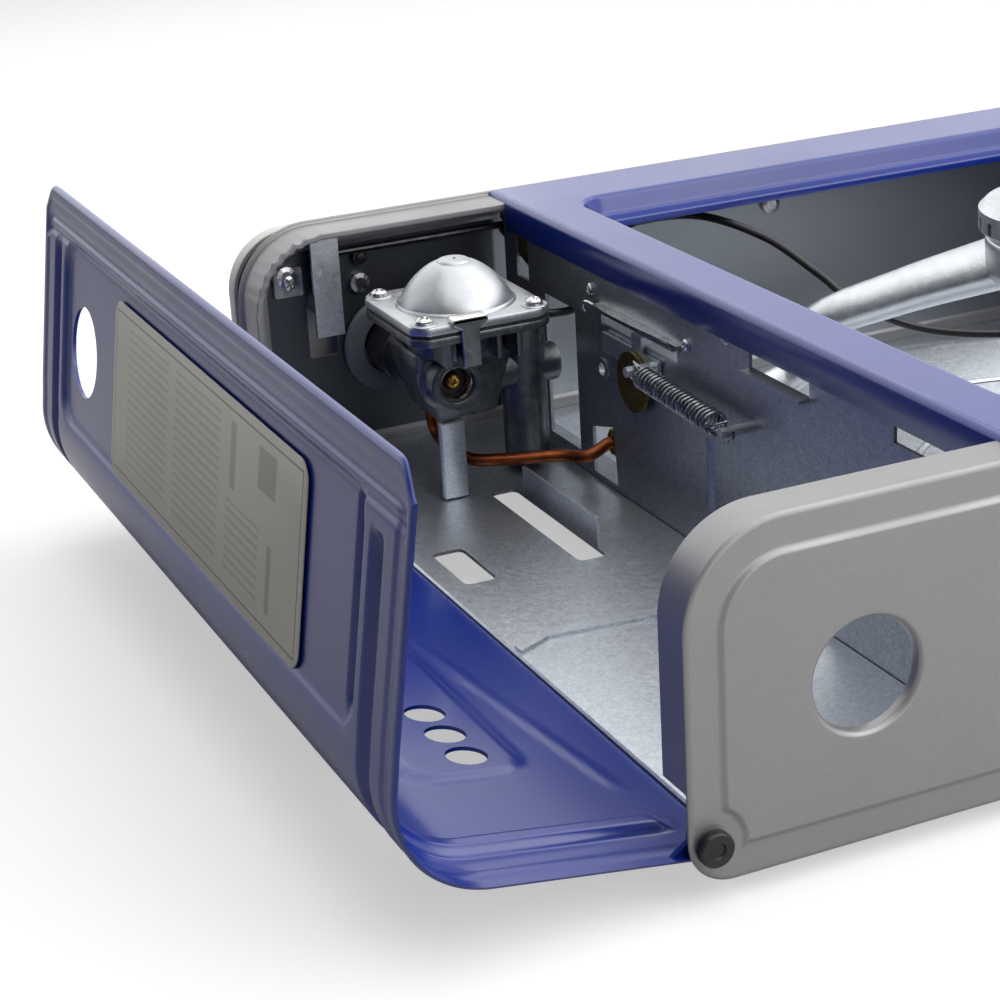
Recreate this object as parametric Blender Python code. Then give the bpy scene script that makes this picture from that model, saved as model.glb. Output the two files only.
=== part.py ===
# Portable gas stove with its cartridge lid standing open.
# The stove's own frame: X to the user's right, Y to the back, Z up, zero at the casing's middle
# and at the lower edge of its end panels. A root empty then moves the whole part so that
# its bounding box stands centred on the origin.

import math

import bmesh
import bpy
from mathutils import Vector

mm = 0.001

# Casing
body_width = 340 * mm
body_depth = 290 * mm
body_height = 82 * mm
corner_radius = 24 * mm
base_radius = 11 * mm
sheet = 1.0 * mm
seat_gap = 0.3 * mm
overrun = 3 * mm
corner_steps = 6
right_side = body_width / 2
back_face = body_depth / 2

# Stamped end panels: how far each ring of the stamping lies inside the outline, and how deep
field_inset = 9 * mm
field_edge = 1.2 * mm
field_step = 0.8 * mm
rim_width = 2.0 * mm
rim_round = 0.5 * mm
flange_depth = 15 * mm
hem_thickness = 2.2 * mm
hem_width = 2.5 * mm
hem_slope = 0.5 * mm
sight_hole_radius = 13.1 * mm
sight_hole_height = 40.5 / 82 * body_height
notch_width = 26 * mm
notch_height = 20 * mm

# Cartridge bay
bay_width = 87 * mm
cartridge_height = 44 / 82 * body_height
floor_lift = 5.1 * mm
floor_skirt = 3.6 * mm
floor_corner = 7 * mm

# Front fascia
fascia_depth = 9 * mm
fascia_wall = 1.2 * mm
fascia_round = 1.8 * mm
fascia_face_inset = 3 * mm
fascia_drop = 2.5 * mm
fascia_corner = 19 * mm
boss_radius = 3.5 * mm
boss_bore = 1.8 * mm
boss_inset = 8 * mm

# Top plate and its well
edge_drop = 10 * mm
edge_radius = 2 * mm
side_clearance = 0.4 * mm
side_foot = 4 * mm
well_side = 16.5 * mm
well_end = 26 * mm
well_left = 29 * mm
well_radius = 12 * mm
well_depth = 6.5 * mm
well_slope = 3 * mm
well_ledge = 6 * mm
well_lip = 2.5 * mm

# Lid
lid_open = math.radians(81.4)
lid_rise = 1.5 * mm
lid_overlap = 6.5 * mm
pin_inset = 5 * mm
pin_height = 10.2 * mm
lid_reach = 8.2 * mm
lid_recess = 1.2 * mm
lid_slope = 2 * mm
lid_groove = 7 * mm
lid_border = 11 * mm
hole_from_edge = 41 * mm
lid_hole_radius = 13 * mm
lid_hole_place = -100 / 145 * back_face
vent_radius = 5 * mm
vent_pitch = 12.5 * mm
vent_place = 71 / 145 * back_face
vent_height = 40 / 82 * body_height
ear_thickness = 1.5 * mm
ear_radius = 4.6 * mm
ear_height = 18 * mm
label_length = 151 * mm
label_width = 48 * mm
label_radius = 5 * mm
label_place = 9 / 145 * back_face
label_thickness = 0.4 * mm

# Hinge pins
pin_radius = 2.2 * mm
pin_head_radius = 4.2 * mm
pin_head = 2.5 * mm
pin_collar_radius = 3.6 * mm
pin_collar = 1.6 * mm
running_gap = 0.3 * mm

# Feet
foot_height = 5 * mm
foot_radius = 8.5 * mm
foot_toe = 7.5 * mm
foot_place_x = 25 * mm
foot_place_y = 30 * mm

# Floor pan
pan_lift = 3.8 * mm
pan_upstand = 12 * mm
pan_corner = 16 * mm
pan_window_length = 80 * mm
pan_window_width = 55 * mm
pan_window_edge = 1.6 * mm

# Partition and the holes in it: places along Y, heights above the casing's lower edge
partition_flange = 12 * mm
partition_foot = 10 * mm
slit_back, slit_front = -20 / 145 * back_face, -67 / 145 * back_face
slit_low, slit_high = 57 / 82 * body_height, 61 / 82 * body_height
slit_lip = 1.5 * mm
window_front, window_back = 20 / 145 * back_face, 50 / 145 * back_face
window_low, window_high = 67 / 82 * body_height, 71.5 / 82 * body_height
rear_window_front, rear_window_back = 88 / 145 * back_face, 118 / 145 * back_face
pipe_hole_front, pipe_hole_back = -76 / 145 * back_face, -60 / 145 * back_face
pipe_hole_low, pipe_hole_high = 8 / 82 * body_height, 26 / 82 * body_height
tall_hole_front, tall_hole_back = -106 / 145 * back_face, -85 / 145 * back_face
tall_hole_low, tall_hole_high = 12 / 82 * body_height, 57 / 82 * body_height
small_hole_front, small_hole_back = -126 / 145 * back_face, -117.5 / 145 * back_face
small_hole_low, small_hole_high = 58 / 82 * body_height, 71 / 82 * body_height
rear_hole_front, rear_hole_back = 14 / 145 * back_face, 60 / 145 * back_face
rear_hole_low, rear_hole_high = 12 / 82 * body_height, 31 / 82 * body_height
bar_notch_width = 8 * mm
bar_notch_low = 50 / 82 * body_height
rib_radius = 2 * mm
rib_place = -2 / 145 * back_face
rib_low, rib_high = 20 / 82 * body_height, 41 / 82 * body_height
ring_place, ring_height = -67 / 145 * back_face, 43 / 82 * body_height
ring_radius = 3.4 * mm

# Slots in the bay floor
slot_width = 8.5 * mm
slot_from_axis = 18.5 * mm
slot_front, slot_back = -80 / 145 * back_face, -18 / 145 * back_face
tab_height = 9 * mm
tab_front, tab_back = -74 / 145 * back_face, -24 / 145 * back_face
side_slot_from_axis = 14.5 * mm
side_slot_width = 9.5 * mm
side_slot_front, side_slot_back = -45 / 145 * back_face, -19.5 / 145 * back_face
step_front, step_back = 20 / 145 * back_face, 25 / 145 * back_face
step_width = 4 * mm
step_height = 0.9 * mm

# Burner
burner_radius = 26 * mm
cap_radius = 28 * mm
cap_top = 90 / 82 * body_height
bowl_top = 80 / 82 * body_height
bowl_bottom = 60 / 82 * body_height
bowl_neck = 14 * mm
cap_slots = 24
cap_slot_width = 2 * mm
cap_slot_depth = 4 * mm
cap_slot_low, cap_slot_high = 82.4 / 82 * body_height, 86 / 82 * body_height
shield_radius = 90 * mm
shield_lip = 3 * mm
shield_height = 15 * mm
shield_base = 32 * mm
shield_bore = 19 * mm
bracket_width = 20 * mm
bracket_foot = 14 * mm
bracket_sheet = 1.5 * mm

# Gas line
jet_place, jet_height = -65 / 145 * back_face, 20 / 82 * body_height
jet_radius = 4.5 * mm
jet_length = 9 * mm
jet_tip_radius = 1.5 * mm
jet_tip = 4 * mm
pipe_radius = 1.9 * mm
nut_radius = 4.2 * mm
nut_length = 7 * mm

# Regulator
dome_offset = -5.5 * mm
dome_place = -86 / 145 * back_face
flange_side = 44 * mm
flange_chamfer = 4 * mm
flange_low = 60 / 82 * body_height
flange_thickness = 2.6 * mm
gasket_thickness = 0.8 * mm
dome_radius = 17 * mm
dome_top = 78 / 82 * body_height
dome_flat = 6 * mm
bowl_radius = 15 * mm
cover_screw_radius = 2.6 * mm
cover_screw_height = 2 * mm
cover_screw_inset = 4.6 * mm
block_front, block_back = -104 / 145 * back_face, -82 / 145 * back_face
block_high, block_low = 53 / 82 * body_height, 31 / 82 * body_height
block_top_width, block_base_width = 31 * mm, 24 * mm
inlet_face = -75 / 145 * back_face
inlet_radius = 8 * mm
inlet_bore = 5.6 * mm
inlet_depth = 7 * mm
nozzle_radius = 3 * mm
nozzle_bore = 1 * mm
seal_radius = 5.3 * mm
column_from_axis = 30 * mm
column_place = -95 / 145 * back_face
column_radius = 7 * mm
column_low, column_high = 9 / 82 * body_height, 56 / 82 * body_height
elbow_radius = 6 * mm
elbow_height = 39 / 82 * body_height
elbow_clearance = 4 * mm
post_width = 7.6 * mm
post_thickness = 3 * mm
post_place = -84 / 145 * back_face
guide_width = 11 * mm
guide_sheet = 1.5 * mm
guide_place = dome_place + flange_side / 2 + seat_gap

# Knob, spindle and igniter
knob_height = 38 / 82 * body_height
knob_radius = 23 * mm
knob_length = 18 * mm
knob_grip = 8 * mm
knob_hub = 19 * mm
spindle_radius = 3 * mm
igniter_radius = 9 * mm
igniter_end = -119 / 145 * back_face
neck_radius = 8 * mm
bezel_radius = 16 * mm
bezel_thickness = 2 * mm
panel_knob_hole = 14 * mm
fascia_knob_hole = 6 * mm
wire_radius = 1.3 * mm

# Lock lever, its link and the cartridge catch
lever_travel = 16 * mm
lever_from_side = 13 * mm
lever_z = 56 / 82 * body_height
lever_width, lever_tall, lever_deep = 13 * mm, 9 * mm, 12 * mm
strap_from_side = 22.5 * mm
strap_width = 9 * mm
strap_low, strap_high = 46 / 82 * body_height, 77.4 / 82 * body_height
strap_sheet = 1.4 * mm
strap_place = -137.5 / 145 * back_face
bar_height = 71.5 / 82 * body_height
bar_radius = 1.2 * mm
crank_pivot_y = -113 / 145 * back_face
crank_up = 11 * mm
crank_width = 6.8 * mm
crank_sheet = 1.5 * mm
fork_reach = 3.4 * mm
link_gap = 0.3 * mm
rod_bend = 2.2 * mm
catch_front, catch_back = -64 / 145 * back_face, -29 / 145 * back_face
catch_low, catch_high = 49.5 / 82 * body_height, 55.5 / 82 * body_height
catch_sheet = 1.2 * mm
tongue_front, tongue_back = -45 / 145 * back_face, -39 / 145 * back_face
disc_radius = 9 * mm
disc_place, disc_height = -43 / 145 * back_face, 46 / 82 * body_height
disc_thickness = 1.2 * mm
stud_radius = 1.5 * mm
spring_front, spring_front_height = -33 / 145 * back_face, 53 / 82 * body_height
spring_back, spring_back_height = 21 / 145 * back_face, 51 / 82 * body_height
spring_radius = 2.75 * mm
spring_wire = 0.5 * mm
spring_loop = 2.6 * mm
spring_turns = 20
spring_from_wall = 7 * mm

# The ignition lead's route, as shares of half the width, half the depth and the height
lead_shares = (
    (0.618, -0.903, 0.793), (0.565, -0.821, 0.732), (0.518, -0.724, 0.646),
    (0.482, -0.690, 0.634), (0.429, -0.683, 0.659), (0.353, -0.759, 0.756),
    (0.282, -0.841, 0.817), (0.224, -0.876, 0.835), (0.129, -0.807, 0.848),
    (0.071, -0.641, 0.805), (0.029, -0.517, 0.707), (-0.029, -0.455, 0.585),
    (-0.147, -0.414, 0.463), (-0.282, -0.317, 0.439), (-0.365, -0.186, 0.512),
)

# Lengths worked out from those above
flange_inset = sheet + seat_gap
inner_depth = field_step + sheet
partition_x = right_side - bay_width
cartridge_x = right_side - bay_width / 2
plate_half = back_face - rim_width - side_clearance
pan_half = back_face - inner_depth - seat_gap
hem_end = back_face - flange_depth - seat_gap
pan_top = pan_lift + sheet
floor_top = floor_lift + sheet
pin_x = right_side - pin_inset
pin_reach = lid_reach * math.sin(lid_open) - (pin_inset - sheet) * math.cos(lid_open)
floor_right = pin_x - pin_reach - seat_gap
panel_inner = back_face - inner_depth
panel_field_inner = back_face - sheet
fascia_face = -back_face - fascia_depth
dome_x = cartridge_x + dome_offset
knob_x = dome_x
slot_left = cartridge_x - slot_from_axis
side_slot_left = cartridge_x + side_slot_from_axis
column_x = cartridge_x - column_from_axis
elbow_end = partition_x + elbow_clearance
lever_x = right_side - lever_from_side
strap_right = right_side - strap_from_side
strap_left = strap_right - strap_width
gasket_low = flange_low + flange_thickness
cover_low = gasket_low + gasket_thickness
cover_high = cover_low + flange_thickness
well_right_x = right_side - bay_width + edge_radius - well_side
well_left_x = -right_side + well_left
well_half_width = (well_right_x - well_left_x) / 2
well_half_length = plate_half - well_end + side_clearance
burner_x = (well_right_x + well_left_x) / 2
lid_corner_x = right_side - corner_radius
lid_top = body_height + lid_rise
lid_corner_z = lid_top - corner_radius
lid_edge_x = partition_x + edge_radius - lid_overlap
crank_pivot_z = bar_height - lever_travel / 2
bar_place = strap_place - seat_gap - bar_radius
crank_arm = crank_pivot_y - bar_place
crank_swing = 2 * math.atan((lever_travel / 2) / crank_arm)
catch_travel = 2 * crank_up * math.sin(crank_swing / 2)


# Basic shapes: each returns a list of points and a list of faces

def prism(outline, low, high, axis):
    """A flat outline drawn out along an axis from low to high."""
    place = {
        "x": lambda a, b, t: (t, a, b),
        "y": lambda a, b, t: (a, t, b),
        "z": lambda a, b, t: (a, b, t),
    }[axis]
    count = len(outline)
    points = [place(a, b, low) for a, b in outline] + [place(a, b, high) for a, b in outline]
    faces = [tuple(range(count)), tuple(range(count, 2 * count))]
    for k in range(count):
        after = (k + 1) % count
        faces.append((k, after, after + count, k + count))
    return points, faces


def block(low, high):
    """A box between two corners."""
    outline = [(low[0], low[1]), (high[0], low[1]), (high[0], high[1]), (low[0], high[1])]
    return prism(outline, low[2], high[2], "z")


def loft(rings):
    """Rings of equally many points joined in order, with flat ends."""
    count = len(rings[0])
    points = [point for ring in rings for point in ring]
    faces = [tuple(range(count)), tuple(range(len(points) - count, len(points)))]
    for level in range(len(rings) - 1):
        for k in range(count):
            after = (k + 1) % count
            first = level * count
            faces.append((first + k, first + after, first + after + count, first + k + count))
    return points, faces


def lathe(profile, steps, centre, axis, looped=False):
    """A profile of (radius, height) turned about an axis through centre."""
    points, rings = [], []
    for radius, height in profile:
        ring = []
        for k in range(1 if radius == 0 else steps):
            turn = 2 * math.pi * k / steps
            a, b = radius * math.cos(turn), radius * math.sin(turn)
            local = {"x": (height, a, b), "y": (a, height, b), "z": (a, b, height)}[axis]
            ring.append(len(points))
            points.append(tuple(c + p for c, p in zip(centre, local)))
        rings.append(ring)
    faces = []
    pairs = list(zip(rings, rings[1:]))
    if looped:
        pairs.append((rings[-1], rings[0]))
    for one, two in pairs:
        for k in range(steps):
            after = (k + 1) % steps
            if len(one) == 1:
                faces.append((one[0], two[k], two[after]))
            elif len(two) == 1:
                faces.append((one[k], one[after], two[0]))
            else:
                faces.append((one[k], one[after], two[after], two[k]))
    if not looped:
        faces += [tuple(ring) for ring in (rings[0], rings[-1]) if len(ring) > 1]
    return points, faces


def rod(radius, low, high, centre, axis, steps=16):
    """A round bar from low to high along an axis; centre gives the other two coordinates."""
    return lathe([(radius, low), (radius, high)], steps, centre, axis)


def shell(outer, inner):
    """Two grids of points, a wall's outer and inner face, closed round their edge."""
    rows, columns = len(outer), len(outer[0])
    points = [p for row in outer for p in row] + [p for row in inner for p in row]
    back = rows * columns
    faces = []
    for r in range(rows - 1):
        for c in range(columns - 1):
            a = r * columns + c
            square = (a, a + 1, a + 1 + columns, a + columns)
            faces.append(square)
            faces.append(tuple(back + k for k in reversed(square)))
    edge = [c for c in range(columns)]
    edge += [r * columns + columns - 1 for r in range(1, rows)]
    edge += [(rows - 1) * columns + c for c in reversed(range(columns - 1))]
    edge += [r * columns for r in reversed(range(1, rows - 1))]
    for k, a in enumerate(edge):
        b = edge[(k + 1) % len(edge)]
        faces.append((b, a, a + back, b + back))
    return points, faces


def gathered(*shapes):
    """Several separate shapes as one."""
    points, faces = [], []
    for shape_points, shape_faces in shapes:
        first = len(points)
        points += shape_points
        faces += [tuple(first + k for k in face) for face in shape_faces]
    return points, faces


def rounded(left, right, low, high, upper, lower, steps=corner_steps):
    """A rounded rectangle's outline, with one radius above and one below."""
    corners = (
        (right - upper, high - upper, upper, 0),
        (left + upper, high - upper, upper, 1),
        (left + lower, low + lower, lower, 2),
        (right - lower, low + lower, lower, 3),
    )
    outline = []
    for a, b, radius, quarter in corners:
        for k in range(steps + 1):
            turn = (quarter + k / steps) * math.pi / 2
            outline.append((a + radius * math.cos(turn), b + radius * math.sin(turn)))
    return outline


# Materials and objects

def finish(name, colour, roughness, metallic):
    made = bpy.data.materials.new(name)
    made.use_nodes = True
    shader = made.node_tree.nodes["Principled BSDF"]
    shader.inputs["Base Color"].default_value = (*colour, 1)
    shader.inputs["Roughness"].default_value = roughness
    shader.inputs["Metallic"].default_value = metallic
    return made


def empty(name, place, parent=None):
    made = bpy.data.objects.new(name, None)
    bpy.context.collection.objects.link(made)
    made.location = place
    made.parent = parent
    return made


def solid(name, shape, colour, roughness=0.4, metallic=0.0, parent=None, smooth=True):
    """One node: a closed mesh with its own material, its sharp edges kept sharp."""
    points, faces = shape
    mesh = bpy.data.meshes.new(name)
    mesh.from_pydata(points, [], faces)
    cleaned = bmesh.new()
    cleaned.from_mesh(mesh)
    bmesh.ops.recalc_face_normals(cleaned, faces=cleaned.faces)
    cleaned.to_mesh(mesh)
    cleaned.free()
    if smooth:
        mesh.shade_smooth()
        mesh.set_sharp_from_angle(angle=math.radians(40))
    mesh.materials.append(finish(name, colour, roughness, metallic))
    made = bpy.data.objects.new(name, mesh)
    bpy.context.collection.objects.link(made)
    made.parent = parent or stove
    return made


def tool(name, shape, parent=None):
    """A hidden shape that a Boolean uses."""
    made = solid(name, shape, white, parent=parent, smooth=False)
    made.hide_render = True
    made.display_type = "WIRE"
    return made


def combine(target, shape, operation, name):
    """Cuts a shape out of a node, or joins it on."""
    modifier = target.modifiers.new(name, "BOOLEAN")
    modifier.operation = operation
    modifier.solver = "EXACT"
    modifier.object = tool(target.name + "_" + name, shape, target.parent)


def cut(target, shape, name="cut"):
    combine(target, shape, "DIFFERENCE", name)


def join(target, shape, name="join"):
    combine(target, shape, "UNION", name)


def smooth_route(points, per_span):
    """A smooth curve through a route's points, as a denser list of points."""
    route = [Vector(p) for p in points]
    route = [2 * route[0] - route[1], *route, 2 * route[-1] - route[-2]]
    dense = []
    for k in range(1, len(route) - 2):
        a, b, c, d = route[k - 1:k + 3]
        for step in range(per_span):
            t = step / per_span
            dense.append(0.5 * (2 * b + (c - a) * t + (2 * a - 5 * b + 4 * c - d) * t ** 2
                                + (3 * b - a - 3 * c + d) * t ** 3))
    dense.append(route[-2])
    return dense


def wire(name, points, radius, colour, roughness, metallic, resolution=2, parent=None):
    """A round wire or pipe along a list of points."""
    curve = bpy.data.curves.new(name, "CURVE")
    curve.dimensions = "3D"
    curve.bevel_depth = radius
    curve.bevel_resolution = resolution
    curve.use_fill_caps = True
    spline = curve.splines.new("POLY")
    spline.points.add(len(points) - 1)
    for spot, point in zip(spline.points, points):
        spot.co = (*point, 1)
    curve.materials.append(finish(name, colour, roughness, metallic))
    made = bpy.data.objects.new(name, curve)
    bpy.context.collection.objects.link(made)
    made.parent = parent or stove
    return made


# Casing

def panel_outline(inset):
    return rounded(-right_side + inset, right_side - inset, inset, body_height - inset,
                   corner_radius - inset, base_radius - inset)


def panel_shape(side):
    """A stamped end panel: raised field, rolled rim, joggle and hemmed inward flange."""
    rings = (
        (field_inset, 0),
        (field_inset - field_edge, field_step),
        (rim_round * 2, field_step),
        (0, field_step + rim_round),
        (0, rim_width),
        (flange_inset, rim_width),
        (flange_inset, flange_depth),
        (flange_inset + hem_thickness, flange_depth),
        (flange_inset + hem_thickness, flange_depth - hem_width),
        (flange_inset + sheet, flange_depth - hem_width - hem_slope),
        (flange_inset + sheet, inner_depth),
        (field_inset - field_edge / 2, inner_depth),
        (field_inset + field_edge / 2, sheet),
    )
    return loft([[(x, side * (back_face - depth), z) for x, z in panel_outline(inset)]
                 for inset, depth in rings])


def pin_corner_cut(side):
    """The room round the hinge pin, taken out of the flange."""
    near, far = side * (panel_inner - seat_gap), side * (back_face - flange_depth - overrun)
    low = (right_side - notch_width, min(near, far), -overrun)
    high = (right_side + overrun, max(near, far), notch_height)
    return block(low, high)


def round_cut(radius, x, z, near, far, steps=24):
    """A round hole along Y."""
    return rod(radius, near, far, (x, 0, z), "y", steps)


def make_back_panel():
    panel = solid("back_panel", panel_shape(1), grey_paint, 0.35, 0.3)
    cut(panel, pin_corner_cut(1), "pin_corner")
    holes = gathered(
        round_cut(sight_hole_radius, cartridge_x, sight_hole_height,
                  back_face - flange_depth, back_face + overrun, 32),
        round_cut(pin_radius + running_gap, pin_x, pin_height, panel_inner - overrun,
                  back_face + overrun, 16),
    )
    cut(panel, holes, "holes")


def make_front_panel():
    panel = solid("front_panel", panel_shape(-1), grey_paint, 0.35, 0.3)
    cut(panel, pin_corner_cut(-1), "pin_corner")
    near, far = -back_face - overrun, -panel_inner + overrun
    arm_low, arm_high = lever_z - lever_tall / 4, lever_z + lever_tall / 4
    holes = [
        round_cut(panel_knob_hole, knob_x, knob_height, near, far, 28),
        round_cut(pin_radius + running_gap, pin_x, pin_height, near, far, 16),
        block((strap_left - running_gap, near, arm_low - lever_travel - running_gap),
              (strap_right + running_gap, far, arm_high + running_gap)),
    ]
    holes += [round_cut(boss_bore, x, z, near, far, 12) for x, z in fascia_bosses]
    cut(panel, gathered(*holes), "holes")


def fascia_outline(inset):
    return rounded(-right_side + inset, right_side - inset, inset,
                   body_height - fascia_drop - inset, fascia_corner - inset, base_radius - inset)


def make_fascia():
    face = fascia_face
    end = -back_face + field_step - seat_gap
    rings = (
        (fascia_face_inset, face),
        (fascia_face_inset / 3, face + fascia_round / 3),
        (0, face + fascia_round),
        (0, end),
        (fascia_wall, end),
        (fascia_wall, face + fascia_round + fascia_wall / 2),
        (fascia_face_inset + fascia_wall / 2, face + fascia_wall),
    )
    shape = loft([[(x, y, z) for x, z in fascia_outline(inset)] for inset, y in rings])
    fascia = solid("front_fascia", shape, beige_paint, 0.4, 0.2)
    bosses = [round_cut(boss_radius, x, z, face + fascia_wall / 2, -back_face - seat_gap, 16)
              for x, z in fascia_bosses]
    join(fascia, gathered(*bosses), "bosses")
    arm_low, arm_high = lever_z - lever_tall / 4, lever_z + lever_tall / 4
    slot_half = lever_width / 4
    holes = [
        round_cut(fascia_knob_hole, knob_x, knob_height, face - overrun, face + overrun, 24),
        block((lever_x - slot_half, face - overrun, arm_low - lever_travel - running_gap),
              (lever_x + slot_half, face + overrun, arm_high + running_gap)),
    ]
    holes += [round_cut(boss_bore, x, z, face + fascia_wall, -back_face + overrun, 12)
              for x, z in fascia_bosses]
    cut(fascia, gathered(*holes), "holes")
    for k, (x, z) in enumerate(fascia_bosses):
        shape = lathe([(boss_bore - running_gap, -back_face - boss_radius),
                       (boss_bore - running_gap, -panel_field_inner + seat_gap),
                       (boss_radius - running_gap, -panel_field_inner + seat_gap),
                       (boss_radius - running_gap, -panel_field_inner + boss_bore),
                       (boss_bore, -panel_field_inner + boss_bore + seat_gap)],
                      12, (x, 0, z), "y")
        solid("fascia_screw_" + "abcd"[k], shape, steel, 0.3, 1.0)


def make_top_plate():
    """Blue pressed plate: flat top, well for the pan, rounded left side, drop along the lid."""
    top = body_height
    right = partition_x + edge_radius - edge_radius / 4
    left = -right_side + corner_radius
    surface = bmesh.new()
    outer_points = [(right - edge_radius, -plate_half), (right - edge_radius, -hem_end),
                    (right - edge_radius, hem_end), (right - edge_radius, plate_half),
                    (left, plate_half), (left, -plate_half)]
    outer = [surface.verts.new((x, y, top)) for x, y in outer_points]
    outer_edges = [surface.edges.new((outer[k], outer[(k + 1) % len(outer)]))
                   for k in range(len(outer))]

    def well_ring(inset, height):
        outline = rounded(burner_x - well_half_width + inset, burner_x + well_half_width - inset,
                          -well_half_length + inset, well_half_length - inset,
                          well_radius - inset, well_radius - inset)
        return [surface.verts.new((x, y, height)) for x, y in outline]

    first = well_ring(0, top)
    ring_edges = [surface.edges.new((first[k], first[(k + 1) % len(first)]))
                  for k in range(len(first))]
    bmesh.ops.triangle_fill(surface, use_beauty=True, use_dissolve=False,
                            edges=outer_edges + ring_edges)
    above = first
    for inset, height in ((well_slope, top - well_depth),
                          (well_slope + well_ledge, top - well_depth),
                          (well_slope + well_ledge, top - well_depth - well_lip)):
        below = well_ring(inset, height)
        for k in range(len(below)):
            after = (k + 1) % len(below)
            surface.faces.new((above[k], above[after], below[after], below[k]))
        above = below

    def strip(start, path):
        """Faces from a row of vertices along a path of (x, z)."""
        row = start
        for x, z in path:
            fresh = [surface.verts.new((x, v.co.y, z)) for v in start]
            for k in range(len(row) - 1):
                surface.faces.new((row[k], row[k + 1], fresh[k + 1], fresh[k]))
            row = fresh

    quarter = [(k + 1) / corner_steps * math.pi / 2 for k in range(corner_steps)]
    strip([outer[5], outer[4]],
          [(left - corner_radius * math.sin(a), top - corner_radius + corner_radius * math.cos(a))
           for a in quarter] + [(-right_side, side_foot)])
    bend = [k / 3 * math.pi / 2 for k in range(1, 4)]
    strip([outer[1], outer[2]],
          [(right - edge_radius + edge_radius * math.sin(a),
            top - edge_radius + edge_radius * math.cos(a)) for a in bend]
          + [(right, top - edge_drop)])
    bmesh.ops.recalc_face_normals(surface, faces=surface.faces)
    flat = max(surface.faces, key=lambda face: face.calc_area())
    if flat.normal.z < 0 and abs(flat.normal.z) > 0.5 or flat.normal.x > 0.5:
        bmesh.ops.reverse_faces(surface, faces=surface.faces)
    mesh = bpy.data.meshes.new("top_plate")
    surface.to_mesh(mesh)
    surface.free()
    mesh.shade_smooth()
    mesh.set_sharp_from_angle(angle=math.radians(40))
    mesh.materials.append(finish("top_plate", blue_paint, 0.3, 0.0))
    plate = bpy.data.objects.new("top_plate", mesh)
    bpy.context.collection.objects.link(plate)
    plate.parent = stove
    thick = plate.modifiers.new("sheet", "SOLIDIFY")
    thick.thickness = sheet
    thick.offset = -1
    thick.use_even_offset = True


def make_floor_pan():
    left = -right_side + flange_inset
    right = floor_right - sheet - seat_gap
    outline = [(left, pan_lift), (right, pan_lift), (right, pan_top), (left + sheet, pan_top),
               (left + sheet, pan_lift + pan_upstand), (left, pan_lift + pan_upstand)]
    pan = solid("bottom_pan", prism(outline, -pan_half, pan_half, "y"), galvanised, 0.4, 0.9)
    corners = [block((left - overrun, min(a, b), -overrun),
                     (left + base_radius, max(a, b), pan_lift + pan_upstand + overrun))
               for a, b in ((hem_end, pan_half + overrun), (-hem_end, -pan_half - overrun))]
    middle = (slot_front + slot_back) / 2
    window = block((right - pan_window_edge - pan_window_width, middle - pan_window_length / 2,
                    -overrun),
                   (right - pan_window_edge, middle + pan_window_length / 2, pan_top + overrun))
    cut(pan, gathered(*corners, window), "openings")


def make_bay_floor():
    """Galvanised floor of the bay, with its lanced slots, tab, pressed step and skirt."""
    left = partition_x + seat_gap
    right = floor_right
    skirt = floor_lift - floor_skirt + sheet
    outline = [(left, floor_lift), (right - sheet, floor_lift), (right - sheet, skirt),
               (right, skirt), (right, floor_top - sheet / 2), (right - sheet / 2, floor_top),
               (left, floor_top)]
    floor = solid("bay_floor", prism(outline, -pan_half, pan_half, "y"), galvanised, 0.35, 0.9)
    tab = block((slot_left - sheet, tab_front, floor_lift + sheet / 2),
                (slot_left, tab_back, floor_top + tab_height))
    low = floor_lift + sheet / 2
    turn_x = right - floor_corner - step_width
    far_x = left + floor_corner
    ridge = [(right - sheet, step_back), (turn_x, step_front), (far_x, step_back),
             (far_x, step_back + step_width), (turn_x, step_front + step_width),
             (right - sheet, step_back + step_width)]
    join(floor, gathered(tab, prism(ridge, low, floor_top + step_height, "z")), "pressings")
    below, above = floor_lift - floor_skirt, floor_top + overrun
    slots = [
        prism(rounded(slot_left, slot_left + slot_width, slot_front, slot_back,
                      step_width / 2, step_width / 2, 3), below, above, "z"),
        prism(rounded(side_slot_left, side_slot_left + side_slot_width, side_slot_front,
                      side_slot_back, step_width / 2, step_width / 2, 3), below, above, "z"),
    ]
    slots += [block((right - floor_corner, min(a, b), skirt - overrun),
                    (right + overrun, max(a, b), floor_top + overrun))
              for a, b in ((hem_end, pan_half + overrun), (-hem_end, -pan_half - overrun))]
    cut(floor, gathered(*slots), "slots")


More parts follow.
